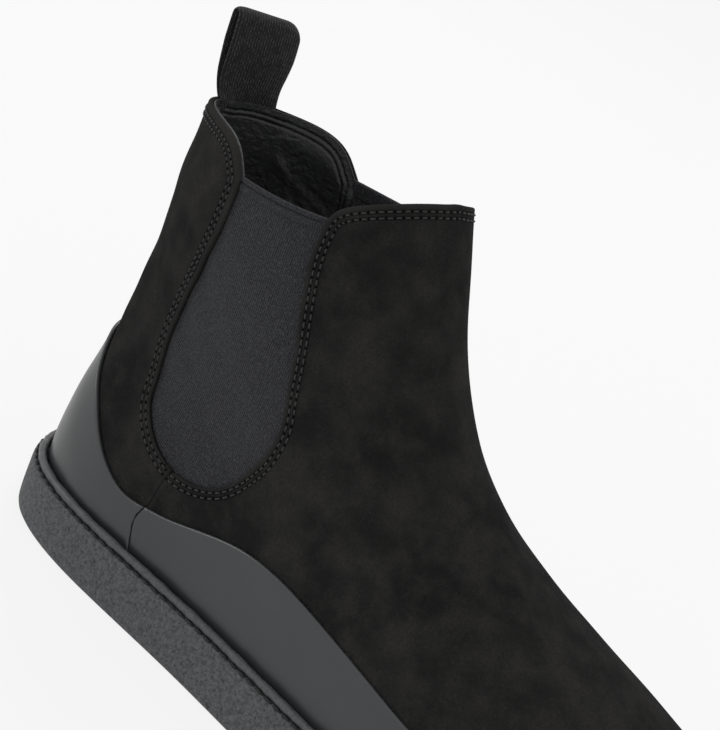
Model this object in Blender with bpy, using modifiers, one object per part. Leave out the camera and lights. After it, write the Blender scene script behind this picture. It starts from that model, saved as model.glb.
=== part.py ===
"""Chelsea boot, right foot.

The upper is a stack of leather pieces, so every piece is laid on one surface, the last. A place on the
last is given by a turn round it (0 degrees at the back seam, 90 on the outer side, 180 at the front,
270 on the inner side) and a height above the ground. +X points to the toe, +Y to the inner side of the
foot, +Z up. The origin is the middle of the sole, on the ground.
"""

import math

import bpy
import numpy as np

MM = 0.001

# Sections of the last, from the ground up, in mm: height and x at the back, height and x at the front,
# half width to the outer and to the inner side, and roundness (0 is the foot's outline, 1 is an oval).
LAST_SECTIONS = np.array(
    [
        (14, 6.0, 14, 277.5, 49.2, 49.2, 0.00),
        (24, 5.0, 25, 279.0, 49.6, 49.2, 0.00),
        (36, 5.0, 38, 273.5, 48.6, 47.8, 0.05),
        (48, 5.9, 50, 257.0, 46.0, 44.0, 0.20),
        (60, 7.0, 61, 231.5, 40.5, 39.5, 0.30),
        (74, 6.5, 73, 195.5, 36.5, 36.5, 0.50),
        (90, 6.0, 88, 163.0, 34.0, 34.0, 0.70),
        (107, 5.5, 107, 140.0, 33.5, 33.5, 0.85),
        (125, 3.5, 128, 123.5, 34.5, 34.0, 1.00),
        (142, 3.0, 148, 112.0, 33.5, 32.0, 1.00),
        (160, 1.5, 166, 102.5, 33.0, 30.5, 1.00),
        (178, 1.0, 184, 95.0, 33.0, 30.0, 1.00),
    ]
)
# The foot's outline from above, as shares of its length and half width: outer side, toe, inner side.
FOOT_OUTLINE = np.array(
    [
        (0.000, 0.00), (0.012, 0.22), (0.050, 0.45), (0.120, 0.60), (0.220, 0.68), (0.350, 0.76),
        (0.500, 0.90), (0.630, 0.99), (0.730, 1.00), (0.830, 0.92), (0.910, 0.72), (0.965, 0.42),
        (0.990, 0.12), (1.000, -0.14), (0.992, -0.40), (0.965, -0.68), (0.910, -0.90), (0.820, -1.00),
        (0.720, -0.99), (0.600, -0.88), (0.480, -0.72), (0.350, -0.66), (0.220, -0.64), (0.120, -0.58),
        (0.050, -0.44), (0.012, -0.22),
    ]
)
OUTLINE_STRETCH = 2.7  # a share of length counts as this many shares of half width along the outline
SHAFT_TWIST = 10.7  # degrees the ankle turns outwards against the sole
TWIST_CENTRE = 42.0
TWIST_HEIGHTS = (35.0, 120.0)

# The sole, in mm: heights, and distances outwards from the foot of the upper.
SOLE_TOP = 16.7
SOLE_RIM = 6.0
SOLE_FLARE = 6.9
BEAD_RADIUS = 1.7
BEAD_OUT = 3.95
BEAD_HEIGHT = 19.1
SOLE_THREAD_RADIUS = 0.5

# Leather and cloth, in mm.
NUBUCK = 1.5
OVERLAY = 1.3
ELASTIC = 1.0
BINDING = 0.8
BINDING_HEIGHT = 3.2
BINDING_INSET = 1.6  # degrees of turn left free at each end
STIFFENER = 0.9
LINING = 1.0
LAYER_GAP = 0.45
PADDING = 0.9
THREAD_RADIUS = 0.35
THREAD_LIFT = 0.7
STITCH_ROW_GAP = 2.3
STITCH_INSET = 2.2
EDGE_GAP = 0.4
FEATHER_HEIGHT = 17.1

PULL_DEPTH = -(NUBUCK + LAYER_GAP)
LINING_OFFSET = -(NUBUCK + LAYER_GAP + STIFFENER + PADDING)

# The split between vamp and shaft, and the hinge on its front end.
FLEX_HEIGHT = 97.0
FLEX_SLOPE = 0.38

# The elastic gore's edges on the outer side, as turn in degrees and height in mm.
GORE_BOTTOM = (49.5, 49.4)
GORE_REAR = [GORE_BOTTOM, (47.0, 50.3), (44.6, 52.3), (42.4, 55.7), (41.2, 60.6), (42.9, 67), (47.3, 77.3), (53.1, 88.4),
             (60.2, 100.3), (69.1, 112.8), (76, 123.5), (79, 131.5), (80.1, 141.7)]
GORE_FRONT = [GORE_BOTTOM, (52, 49.7), (54.9, 50.8), (59.5, 53.8), (65, 58.8), (73.1, 66.1), (85.3, 75.5),
              (92.8, 82.1), (98.9, 88.8), (103.5, 96.9), (107.5, 105.2), (111.6, 116.9), (113.5, 128),
              (115.3, 139.7), (117.7, 147.2)]
MEDIAL_SHIFT = 8.0  # the inner gore sits this many degrees further back at its top

# Other edges, as turn and height.
SIDE_SEAM = [(44.9, FEATHER_HEIGHT), (43.9, 24.4), (43.6, 29), (44.7, 34.1)]
SEAM_TOP = [(46.3, 41), (48, 46)]
REAR_RIM = [(0, 148.5), (28, 149.8), (48, 150.7), (61, 151), (73.6, 148.2), (80.1, 141.7)]
FRONT_RIM = [(117.7, 147.2), (120.4, 150.6), (123.5, 152.9), (132.8, 157.2), (145, 161.2), (164.4, 165.2),
             (180, 166.5)]
HEEL_OVERLAY_TOP = [(0, 67), (12, 64.5), (20, 56.7), (27.2, 48.7), (31.5, 41.5), (36.5, 35), (40.2, 33),
                    (44.7, 34.1)]
RAND_TOP = [(44.7, 34.1), (48.3, 35.8), (54.9, 39.8), (62.3, 44.1), (70.1, 47.2), (77, 47.9), (87.8, 45.3),
            (95, 41.9), (101, 39), (115, 36.5), (135, 35), (158, 34.5), (180, 34.5)]

# The heel's stiffener and the toe's, inside the leather.
COUNTER_SIDE = [(42, 19), (40, 34), (34, 48)]
COUNTER_TOP = [(0, 62), (20, 58), (34, 48)]
PUFF_SIDE = [(112, 19), (124, 32)]
PUFF_TOP = [(124, 32), (150, 40), (180, 43)]

# How the quarter's rim and the heel overlay's top draw back from the edges they meet.
RIM_EASE = 0.994
OVERLAY_EASE = 0.992
STITCH_START = 4  # points of the gore's edge left free of stitching at its lower end

# The pull loop, in mm.
TAB_WIDTH = 25.0
TAB_FACING = 22.0  # degrees the loop's inner face is turned outwards
TAB_MIDDLE = -13.0  # the turn at which the loop stands
TAB_HEIGHT = 28.5
TAB_THICKNESS = 1.3
TAB_LEAN = 6.0
TAB_BASE_GAP = 3.0
TAB_CLEARANCE = 5.4
TAB_ANCHOR_DEPTH = 30.0
TAB_ANCHOR_TURN = 21.0  # degrees of turn to each side of the back seam
TAB_ANCHOR_TOP = 148.3
TAB_BASE_HEIGHT = 149.0

# How finely the pieces are divided.
AROUND = 76
FLEX_COLUMNS = 35
SIDE_COLUMNS = 9
COLOURS = {
    "nubuck": ((0.017, 0.016, 0.016), 0.90),
    "overlay": ((0.060, 0.062, 0.066), 0.55),
    "elastic": ((0.037, 0.038, 0.041), 0.85),
    "rubber": ((0.080, 0.082, 0.086), 0.80),
    "bead": ((0.110, 0.112, 0.117), 0.55),
    "thread": ((0.045, 0.045, 0.047), 0.70),
    "lining": ((0.010, 0.010, 0.012), 0.60),
    "webbing": ((0.020, 0.020, 0.021), 0.90),
    "board": ((0.200, 0.160, 0.110), 0.90),
    "stiffener": ((0.300, 0.280, 0.240), 0.80),
    "footbed": ((0.030, 0.030, 0.033), 0.90),
}


def spline(knots, count, closed=False, spacing=None):
    """Points on the smooth cubic through the knots, whose second derivative is continuous."""
    knots = np.asarray(knots, float)
    steps = np.diff(np.vstack([knots, knots[:1]]) if closed else knots, axis=0)
    lengths = np.ones(len(steps)) if spacing is None else np.hypot(steps[:, 0] * spacing, steps[:, 1])
    size = len(knots)
    matrix = np.zeros((size, size))
    right = np.zeros_like(knots)
    for i in range(size):
        if closed or 0 < i < size - 1:
            before, after = lengths[i - 1], lengths[i]
            matrix[i, (i - 1) % size] = after
            matrix[i, i] = 2 * (before + after)
            matrix[i, (i + 1) % size] = before
            right[i] = 3 * (after * steps[i - 1] / before + before * steps[i] / after)
    if not closed:
        matrix[0, :2] = (2, 1)
        matrix[-1, -2:] = (1, 2)
        right[0] = 3 * steps[0] / lengths[0]
        right[-1] = 3 * steps[-1] / lengths[-1]
    slopes = np.linalg.solve(matrix, right)
    places = np.concatenate([[0], np.cumsum(lengths)])
    at = count if isinstance(count, np.ndarray) else np.linspace(0, places[-1], count, endpoint=not closed)
    span = np.clip(np.searchsorted(places, at, side="right") - 1, 0, len(lengths) - 1)
    share = ((at - places[span]) / lengths[span])[..., None]
    following = (span + 1) % size
    width = lengths[span][..., None]
    return (
        knots[span] * (1 + 2 * share) * (1 - share) ** 2
        + knots[following] * share**2 * (3 - 2 * share)
        + width * slopes[span] * share * (1 - share) ** 2
        - width * slopes[following] * share**2 * (1 - share)
    )


def foot_outline_table(count=720):
    """The foot's outline at even steps of turn, with the toe's tip half way round."""
    outline = spline(FOOT_OUTLINE, count, closed=True, spacing=OUTLINE_STRETCH)
    tip = int(np.argmax(outline[:, 0]))
    steps = np.arange(count + 1)
    half = count // 2
    source = np.where(steps <= half, steps * tip / half, tip + (steps - half) * (count - tip) / (count - half))
    looped = np.vstack([outline, outline[:1]])
    return np.stack([np.interp(source, steps, looped[:, k]) for k in range(2)], 1)


OUTLINE_TABLE = foot_outline_table()


def foot_outline(turn):
    """Shares of length and half width (outer side positive) on the foot's outline."""
    steps = np.arange(len(OUTLINE_TABLE))
    at = (np.asarray(turn, float) % 360) / 360 * (len(OUTLINE_TABLE) - 1)
    return np.interp(at, steps, OUTLINE_TABLE[:, 0]), np.interp(at, steps, OUTLINE_TABLE[:, 1])


def twisted(points):
    """Points turned about an upright line through the heel, more the higher they are."""
    low, high = TWIST_HEIGHTS
    share = np.clip((points[..., 2] - low) / (high - low), 0, 1)
    angle = -math.radians(SHAFT_TWIST) * share * share * (3 - 2 * share)
    x = points[..., 0] - TWIST_CENTRE
    y = points[..., 1]
    return np.stack(
        [
            TWIST_CENTRE + np.cos(angle) * x - np.sin(angle) * y,
            np.sin(angle) * x + np.cos(angle) * y,
            points[..., 2],
        ],
        -1,
    )


def last_point(turn, level):
    """The point of the last at a turn in degrees and a level counted in sections."""
    turn, level = np.broadcast_arrays(np.asarray(turn, float), np.asarray(level, float))
    section = spline(LAST_SECTIONS, level.ravel()).reshape(level.shape + (7,))
    back_z, back_x, front_z, front_x, outer, inner, roundness = np.moveaxis(section, -1, 0)
    foot_along, foot_across = foot_outline(turn)
    angle = np.radians(turn)
    along = foot_along * (1 - roundness) + (1 - np.cos(angle)) / 2 * roundness
    across = foot_across * (1 - roundness) + np.sin(angle) * roundness
    y = -np.where(across > 0, across * outer, across * inner)
    x = back_x + (front_x - back_x) * along
    z = back_z + (front_z - back_z) * along
    return twisted(np.stack([x, y, z], -1))


def level_where(turn, height_error):
    """The level at each turn where a height error, which grows with level, is nought."""
    low = np.zeros_like(turn)
    high = np.full_like(turn, len(LAST_SECTIONS) - 1)
    for _ in range(40):
        middle = (low + high) / 2
        above = height_error(last_point(turn, middle)) > 0
        high = np.where(above, middle, high)
        low = np.where(above, low, middle)
    return (low + high) / 2


def on_last(turn, height, offset=0.0):
    """Points at a turn and a height, moved out from the last by an offset, all in mm."""
    turn, height = np.broadcast_arrays(np.asarray(turn, float), np.asarray(height, float))
    level = level_where(turn, lambda points: points[..., 2] - height)
    small = 0.01
    round_step = last_point(turn + small, level) - last_point(turn - small, level)
    up_step = last_point(turn, level + small) - last_point(turn, level - small)
    normal = np.cross(round_step, up_step)
    normal /= np.linalg.norm(normal, axis=-1, keepdims=True)
    return last_point(turn, level) + offset * normal


def sole_outline(turn, offset):
    """The foot of the upper seen from above at some turns, moved outwards by an offset."""
    small = 0.25
    place = on_last(turn, FEATHER_HEIGHT)[..., :2]
    step = on_last(turn + small, FEATHER_HEIGHT)[..., :2] - on_last(turn - small, FEATHER_HEIGHT)[..., :2]
    normal = np.stack([step[..., 1], -step[..., 0]], -1)
    normal /= np.linalg.norm(normal, axis=-1, keepdims=True)
    return place + offset * normal


def loop_base():
    """The point of the rim that the pull loop stands over."""
    return on_last(np.array([TAB_MIDDLE]), np.array([TAB_BASE_HEIGHT]), PULL_DEPTH - STIFFENER / 2)[0]


def loop_edges():
    """The two long edges of the loop's webbing, up its outer leg, over the fold and down again."""
    base = loop_base()
    angle = -math.radians(TAB_FACING)
    forward = np.array([math.cos(angle), math.sin(angle), 0])
    across = np.array([-math.sin(angle), math.cos(angle), 0])
    up = np.array([0, 0, 1.0])
    start = TAB_BASE_GAP
    bend = TAB_CLEARANCE / 2 + TAB_THICKNESS / 2
    straight = TAB_HEIGHT - bend - TAB_THICKNESS / 2
    rise = np.linspace(start, straight, 6)
    arc = np.linspace(0, math.pi, 11)[1:-1]
    spread = bend * (0.45 + 0.55 * np.clip((rise - start) / (straight - start), 0, 1) ** 0.5)
    x_line = np.concatenate([-spread, -bend * np.cos(arc), spread[::-1]])
    z_line = np.concatenate([rise, straight + bend * np.sin(arc), rise[::-1]])
    lean = -TAB_LEAN * (z_line / TAB_HEIGHT) ** 1.3
    centre_line = base + (x_line + lean)[:, None] * forward + z_line[:, None] * up
    return [centre_line + sign * TAB_WIDTH / 2 * across for sign in (-1, 1)]


def box_centre():
    """The middle of the boot's box seen from above: the sole, and the loop that leans out behind it."""
    outline = sole_outline(np.linspace(0, 360, 721), SOLE_FLARE)
    low = outline.min(0)
    loop_back = np.concatenate(loop_edges())[:, 0].min() - TAB_THICKNESS / 2 * math.cos(math.radians(TAB_FACING))
    low[0] = min(low[0], loop_back)
    return (low + outline.max(0)) / 2


CENTRE = box_centre()


def to_metres(points):
    """Design points in mm as model points in metres about the origin."""
    return (points - np.array([CENTRE[0], CENTRE[1], 0.0])) * MM


def hinge_place():
    """The front end of the flex line: a point just outside the last at the instep."""
    return on_last(np.array([180.0]), np.array([FLEX_HEIGHT]), 0.5)[0]


HINGE = hinge_place()


def flex_height(turn):
    """The height of the flex line, where the slanting plane through the hinge cuts the last."""
    turn = np.asarray(turn, float)

    def above_plane(points):
        return points[..., 2] - HINGE[2] - FLEX_SLOPE * (points[..., 0] - HINGE[0])

    return last_point(turn, level_where(turn, above_plane))[..., 2]


def even(curve, count):
    """A line of points given again at even steps along its length."""
    curve = np.asarray(curve, float)
    place = np.concatenate([[0], np.cumsum(np.linalg.norm(np.diff(curve, axis=0), axis=1))])
    at = np.linspace(0, place[-1], count)
    return np.stack([np.interp(at, place, curve[:, k]) for k in range(curve.shape[1])], 1)


def smooth_line(knots, count=60):
    """A smooth line through a few knots of turn and height."""
    return even(spline(knots, 200, spacing=1.0), count)


def inner_side(line, rear):
    """The same line on the foot's inner side, a little further back towards the top."""
    turn, height = np.asarray(line, float).T
    shift = MEDIAL_SHIFT * np.clip((height - 50) / 95, 0, 1) * np.sin(np.radians(turn))
    return np.stack([-(turn - shift) if rear else 360 - (turn - shift), height], 1)


def cut_at_flex(line, upper):
    """The part of a line above the flex line, or below it."""
    above = line[:, 1] > flex_height(line[:, 0])
    first = int(np.argmax(above))
    turn = line[first - 1 : first + 1, 0]
    gap = line[first - 1 : first + 1, 1] - flex_height(turn)
    share = -gap[0] / (gap[1] - gap[0])
    crossing = line[first - 1] * (1 - share) + line[first] * share
    return np.vstack([crossing, line[first:]]) if upper else np.vstack([line[:first], crossing])


def patch(bottom, top, left, right, rows, columns):
    """A Coons patch between four lines of turn and height: rows by columns of points."""
    bottom, top = (line if len(line) == columns else even(line, columns) for line in (bottom, top))
    left, right = even(left, rows), even(right, rows)
    across = np.linspace(0, 1, columns)[None, :, None]
    up = np.linspace(0, 1, rows)[:, None, None]
    ruled = (1 - up) * bottom[None] + up * top[None] + (1 - across) * left[:, None] + across * right[:, None]
    corners = (
        (1 - up) * ((1 - across) * bottom[0] + across * bottom[-1])
        + up * ((1 - across) * top[0] + across * top[-1])
    )
    return ruled - corners


def new_collection(name):
    collection = bpy.data.collections.new(name)
    bpy.context.scene.collection.children.link(collection)
    return collection


def make_material(name, kind):
    colour, roughness = COLOURS[kind]
    material = bpy.data.materials.new(name + "_material")
    material.use_nodes = True
    shader = material.node_tree.nodes["Principled BSDF"]
    shader.inputs["Base Color"].default_value = (*colour, 1)
    shader.inputs["Roughness"].default_value = roughness
    material.diffuse_color = (*colour, 1)
    return material


def add_object(name, data, kind):
    piece = bpy.data.objects.new(name, data)
    data.materials.append(make_material(name, kind))
    BOOT.objects.link(piece)
    return piece


def add_mesh(name, vertices, faces, kind):
    mesh = bpy.data.meshes.new(name)
    mesh.from_pydata(np.asarray(vertices).tolist(), [], faces)
    mesh.shade_smooth()
    mesh.set_sharp_from_angle(angle=math.radians(40))
    return add_object(name, mesh, kind)


def grid_faces(rows, columns, closed=False):
    """Faces of a grid whose columns turn round the last and whose rows go up, facing outwards."""
    spans = columns if closed else columns - 1
    return [
        (
            row * columns + column,
            row * columns + (column + 1) % columns,
            (row + 1) * columns + (column + 1) % columns,
            (row + 1) * columns + column,
        )
        for row in range(rows - 1)
        for column in range(spans)
    ]


def add_panel(name, places, outer_offset, thickness, kind):
    """A leather piece: a patch on the last, given its thickness inwards."""
    rows, columns = places.shape[:2]
    points = on_last(places[..., 0], places[..., 1], outer_offset)
    piece = add_mesh(name, to_metres(points).reshape(-1, 3), grid_faces(rows, columns), kind)
    wall = piece.modifiers.new("thickness", "SOLIDIFY")
    wall.thickness = thickness * MM
    wall.offset = -1
    wall.use_even_offset = False
    return piece


def add_tube(name, points, radius, sides_level, kind):
    """A closed cord of round section through a ring of points."""
    curve = bpy.data.curves.new(name, "CURVE")
    curve.dimensions = "3D"
    curve.bevel_depth = radius * MM
    curve.bevel_resolution = sides_level
    line = curve.splines.new("POLY")
    line.points.add(len(points) - 1)
    flat = np.column_stack([to_metres(points), np.ones(len(points))])
    line.points.foreach_set("co", flat.ravel())
    line.use_cyclic_u = True
    return add_object(name, curve, kind)


def add_loft(name, rings, kind):
    """A closed body from rings of points, the lowest first, with flat ends."""
    count = len(rings[0])
    vertices = to_metres(np.concatenate(rings))
    faces = grid_faces(len(rings), count, closed=True)
    faces.append(tuple(reversed(range(count))))
    faces.append(tuple(range((len(rings) - 1) * count, len(rings) * count)))
    return add_mesh(name, vertices, faces, kind)


def inset(line, distance):
    """A line of turn and height moved sideways over the last by a distance, to the left of its run."""
    turn, height = line.T
    place = on_last(turn, height)
    turn_step = on_last(turn + 1, height) - place
    height_step = on_last(turn, height + 1) - place
    outward = on_last(turn, height, 1.0) - place
    side = np.cross(outward, np.gradient(place, axis=0))
    side *= distance / np.linalg.norm(side, axis=-1, keepdims=True)
    basis = np.stack([turn_step, height_step], -1)
    move = np.linalg.pinv(basis) @ side[..., None]
    return line + move[..., 0]


def add_stitch_pair(name, line, direction):
    """Two rows of stitching beside an edge, as one closed loop of thread above the leather."""
    near = inset(line, direction * STITCH_INSET)
    far = inset(line, direction * (STITCH_INSET + STITCH_ROW_GAP))
    loop = np.vstack([near, far[::-1]])
    above = on_last(loop[:, 0], loop[:, 1], THREAD_LIFT + THREAD_RADIUS)
    return add_tube(name, above, THREAD_RADIUS, 0, "thread")


def build_sole():
    turn = np.arange(AROUND) * 360 / AROUND
    profile = [(SOLE_FLARE - 2.6, 0.0), (SOLE_FLARE - 0.6, 1.2), (SOLE_FLARE, 4.0), (SOLE_FLARE - 0.2, 8.0),
               (SOLE_RIM + 0.2, 15.0), (SOLE_RIM, SOLE_TOP)]
    rings = [
        np.column_stack([sole_outline(turn, offset), np.full(AROUND, height)]) for offset, height in profile
    ]
    add_loft("outsole", rings, "rubber")
    bead = np.column_stack([sole_outline(turn, BEAD_OUT), np.full(AROUND, BEAD_HEIGHT)])
    add_tube("welt_bead", bead, BEAD_RADIUS, 1, "bead")
    thread_height = SOLE_TOP + SOLE_THREAD_RADIUS + 0.3
    thread = np.column_stack([sole_outline(turn, SOLE_RIM - 0.2), np.full(AROUND, thread_height)])
    add_tube("sole_stitching", thread, SOLE_THREAD_RADIUS, 0, "thread")


def build_insoles():
    turn = np.arange(AROUND) * 360 / AROUND
    inside = LINING_OFFSET - LINING - 1.2
    board_low = SOLE_TOP + 0.3
    board_high = board_low + 1.8
    footbed_low = board_high + 0.3
    footbed_high = footbed_low + 4.5

    def ring(height, offset):
        points = on_last(turn, np.full(AROUND, 22.0), offset)
        points[:, 2] = height
        return points

    add_loft("insole_board", [ring(board_low, inside), ring(board_high, inside)], "board")
    footbed = [ring(footbed_low, inside), ring(footbed_high - 1, inside), ring(footbed_high, inside - 1.2)]
    add_loft("footbed", footbed, "footbed")


def both_sides_front(line):
    """A line that starts on the outer side and ends at the front, carried on round the inner side."""
    return np.vstack([line, inner_side(line, rear=False)[::-1][1:]])


def both_sides_rear(line):
    """A line that starts at the back and ends on the outer side, with the inner side before it."""
    return np.vstack([inner_side(line, rear=True)[::-1][:-1], line])


def level_line(start, end, height, count=120):
    return np.column_stack([np.linspace(start, end, count), np.full(count, height)])


def build_rear(gore_rear, seam):
    rear_side = np.vstack([seam, gore_rear])
    rear_side[:, 0] -= 0.5
    rim = both_sides_rear(smooth_line(REAR_RIM))
    rim[:, 0] *= RIM_EASE
    medial_side = inner_side(rear_side, rear=True)
    foot = level_line(medial_side[0, 0], rear_side[0, 0], FEATHER_HEIGHT)
    quarter = patch(foot, rim, medial_side, rear_side, 15, 33)
    add_panel("rear_quarter", quarter, 0.0, NUBUCK, "nubuck")
    lining = patch(foot, rim, medial_side, rear_side, 10, 25)
    add_panel("rear_lining", lining, LINING_OFFSET, LINING, "lining")
    unstitched = len(seam) + STITCH_START
    stitched_edge = np.vstack([medial_side[unstitched:], rim[1:-1], rear_side[::-1][:-unstitched]])
    add_stitch_pair("quarter_stitching", even(stitched_edge, 64), -1)

    counter_side = smooth_line(COUNTER_SIDE)
    counter_top = both_sides_rear(smooth_line(COUNTER_TOP))
    counter_left = inner_side(counter_side, rear=True)
    counter_foot = level_line(counter_left[0, 0], counter_side[0, 0], COUNTER_SIDE[0][1])
    counter = patch(counter_foot, counter_top, counter_left, counter_side, 6, 25)
    add_panel("heel_counter", counter, -(NUBUCK + LAYER_GAP), STIFFENER, "stiffener")

    overlay_side = smooth_line(SIDE_SEAM)
    overlay_side[:, 0] -= 0.4
    overlay_top = both_sides_rear(smooth_line(HEEL_OVERLAY_TOP))
    overlay_top[:, 0] *= OVERLAY_EASE
    overlay_left = inner_side(overlay_side, rear=True)
    overlay_foot = level_line(overlay_left[0, 0], overlay_side[0, 0], FEATHER_HEIGHT)
    overlay = patch(overlay_foot, overlay_top, overlay_left, overlay_side, 5, 33)
    add_panel("heel_overlay", overlay, LAYER_GAP + OVERLAY, OVERLAY, "overlay")


def build_front(gore_front, seam):
    below = cut_at_flex(gore_front, upper=False)
    above = cut_at_flex(gore_front, upper=True)
    seam = seam + np.array([0.5, 0])
    medial_below = inner_side(below, rear=False)
    medial_above = inner_side(above, rear=False)
    turns = np.linspace(above[0, 0], medial_above[0, 0], FLEX_COLUMNS)
    flex = np.column_stack([turns, flex_height(turns)])
    flex[-1] = medial_above[0]
    gore_side = even(below, SIDE_COLUMNS)
    vamp_top = np.vstack([gore_side, flex[1:-1], inner_side(gore_side, rear=False)[::-1]])
    vamp_top = vamp_top - np.array([0, EDGE_GAP])
    vamp_left = np.vstack([seam, vamp_top[0]])
    vamp_right = inner_side(vamp_left, rear=False)
    foot = level_line(vamp_left[0, 0], vamp_right[0, 0], FEATHER_HEIGHT)
    vamp = patch(foot, vamp_top, vamp_left, vamp_right, 12, len(vamp_top))
    add_panel("vamp", vamp, 0.0, NUBUCK, "nubuck")
    lining = patch(foot, vamp_top, vamp_left, vamp_right, 6, len(vamp_top))
    add_panel("vamp_lining", lining, LINING_OFFSET, LINING, "lining")

    rim = both_sides_front(smooth_line(FRONT_RIM))
    shaft = patch(flex + np.array([0, EDGE_GAP]), rim, above, medial_above, 8, FLEX_COLUMNS)
    add_panel("front_shaft", shaft, 0.0, NUBUCK, "nubuck")
    add_panel("front_shaft_lining", shaft[::-1][::2][::-1], LINING_OFFSET, LINING, "lining")

    puff_side = smooth_line(PUFF_SIDE)
    puff_top = both_sides_front(smooth_line(PUFF_TOP))
    puff_right = inner_side(puff_side, rear=False)
    puff_foot = level_line(puff_side[0, 0], puff_right[0, 0], PUFF_SIDE[0][1])
    puff = patch(puff_foot, puff_top, puff_side, puff_right, 5, 29)
    add_panel("toe_puff", puff, -(NUBUCK + 2 * LAYER_GAP), STIFFENER, "stiffener")

    rand_side = smooth_line(SIDE_SEAM) + np.array([0.4, 0])
    rand_top = both_sides_front(smooth_line(RAND_TOP) + np.array([0.4, 0]))
    rand_right = inner_side(rand_side, rear=False)
    rand_foot = level_line(rand_side[0, 0], rand_right[0, 0], FEATHER_HEIGHT)
    rand = patch(rand_foot, rand_top, rand_side, rand_right, 4, 53)
    add_panel("front_rand", rand, LAYER_GAP + OVERLAY, OVERLAY, "overlay")

    add_stitch_pair("vamp_stitching_outer", even(below[2:-4], 16), -1)
    add_stitch_pair("vamp_stitching_inner", even(medial_below[2:-4], 16), 1)
    shaft_edge = np.vstack([above[4:], rim[1:-1], medial_above[::-1][:-4]])
    add_stitch_pair("shaft_stitching", even(shaft_edge, 60), -1)


def build_gores(gore_rear, gore_front):
    """The elastic of each side, whose edges are hidden under the leather, and its bound top edge."""
    depth = -(NUBUCK + LAYER_GAP)
    for side, mirror in (("outer", None), ("inner", inner_side)):
        top = even(np.vstack([gore_rear[-1], gore_front[-1]]), 9) - np.array([0, 0.8])
        count = 14
        left = even(gore_rear, count)
        right = even(gore_front, count)
        share = np.linspace(0, 1, 9)[None, :, None]
        rows = left[:, None] * (1 - share) + right[:, None] * share
        centre = rows.mean(axis=(0, 1))
        rows = centre + (rows - centre) * np.array([1.05, 1.03])
        rows[-1] = top
        rows = rows[1:]
        if mirror is not None:
            rows = np.stack([inner_side(row, rear=False)[::-1] for row in rows])
        add_panel("gore_" + side, rows, depth, ELASTIC, "elastic")
        hem = even(np.vstack([gore_rear[-1] + [BINDING_INSET, 0], gore_front[-1] - [BINDING_INSET, 0]]), 7)
        hem = np.stack([hem - [0, BINDING_HEIGHT], hem])
        if mirror is not None:
            hem = np.stack([inner_side(row, rear=False)[::-1] for row in hem])
        add_panel("gore_binding_" + side, hem, depth + LAYER_GAP + BINDING, BINDING, "elastic")


def build_tab():
    """The pull loop above the rim, and its sewn-in ends between the quarter and its lining."""
    half_turn = TAB_ANCHOR_TURN
    anchor_line = level_line(TAB_MIDDLE - half_turn, TAB_MIDDLE + half_turn, 0, 9)
    top = anchor_line + np.array([0, TAB_ANCHOR_TOP])
    bottom = anchor_line + np.array([0, TAB_ANCHOR_TOP - TAB_ANCHOR_DEPTH])
    side = np.linspace(bottom[0, 1], top[0, 1], 5)
    left = np.column_stack([np.full(5, anchor_line[0, 0]), side])
    right = np.column_stack([np.full(5, anchor_line[-1, 0]), side])
    add_panel("pull_tab_anchor", patch(bottom, top, left, right, 5, 9), PULL_DEPTH, STIFFENER, "webbing")

    edges = loop_edges()
    band = add_mesh("pull_tab", to_metres(np.concatenate(edges)), grid_faces(2, len(edges[0])), "webbing")
    wall = band.modifiers.new("thickness", "SOLIDIFY")
    wall.thickness = TAB_THICKNESS * MM
    wall.offset = 0


def clear_scene():
    for item in list(bpy.data.objects):
        bpy.data.objects.remove(item, do_unlink=True)


clear_scene()
BOOT = new_collection("chelsea_boot")
GORE_REAR_LINE = smooth_line(GORE_REAR)
GORE_FRONT_LINE = smooth_line(GORE_FRONT)
SEAM_LINE = np.vstack([smooth_line(SIDE_SEAM, 20), SEAM_TOP])
build_sole()
build_insoles()
build_rear(GORE_REAR_LINE, SEAM_LINE)
build_front(GORE_FRONT_LINE, SEAM_LINE)
build_gores(GORE_REAR_LINE, GORE_FRONT_LINE)
build_tab()
print("hinge", to_metres(HINGE), "tab", to_metres(loop_base()), "centre", CENTRE)
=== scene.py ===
# %% [markdown]
# # A chelsea boot in nubuck
# A right boot: a nubuck upper, elastic gores, smooth overlays round heel and foot, a webbing pull loop
# and a flat rubber sole. Every soft piece is a surface worked out with numpy on one shared form, the
# last, so that the layers stay a steady distance apart, as leather does when it is pulled over a last.
# %% Frame
import math

import bpy
import numpy as np
from mathutils import Matrix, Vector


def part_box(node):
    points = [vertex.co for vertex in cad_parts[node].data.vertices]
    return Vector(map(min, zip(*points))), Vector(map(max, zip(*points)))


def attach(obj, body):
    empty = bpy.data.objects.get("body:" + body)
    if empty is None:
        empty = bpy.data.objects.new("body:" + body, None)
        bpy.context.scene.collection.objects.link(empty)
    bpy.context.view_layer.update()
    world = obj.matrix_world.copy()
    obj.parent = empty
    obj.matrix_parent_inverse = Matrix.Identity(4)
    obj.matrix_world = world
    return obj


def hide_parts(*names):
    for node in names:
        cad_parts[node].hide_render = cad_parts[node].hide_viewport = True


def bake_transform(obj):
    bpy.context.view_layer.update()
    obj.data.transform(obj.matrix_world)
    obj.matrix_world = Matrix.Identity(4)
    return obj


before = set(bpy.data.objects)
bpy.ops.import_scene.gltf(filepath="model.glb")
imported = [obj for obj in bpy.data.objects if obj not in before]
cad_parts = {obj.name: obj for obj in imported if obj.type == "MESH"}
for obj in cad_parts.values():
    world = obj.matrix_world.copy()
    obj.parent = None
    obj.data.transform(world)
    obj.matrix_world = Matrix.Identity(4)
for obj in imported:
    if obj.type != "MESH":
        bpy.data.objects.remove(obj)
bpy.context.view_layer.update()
MM = 0.001

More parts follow.
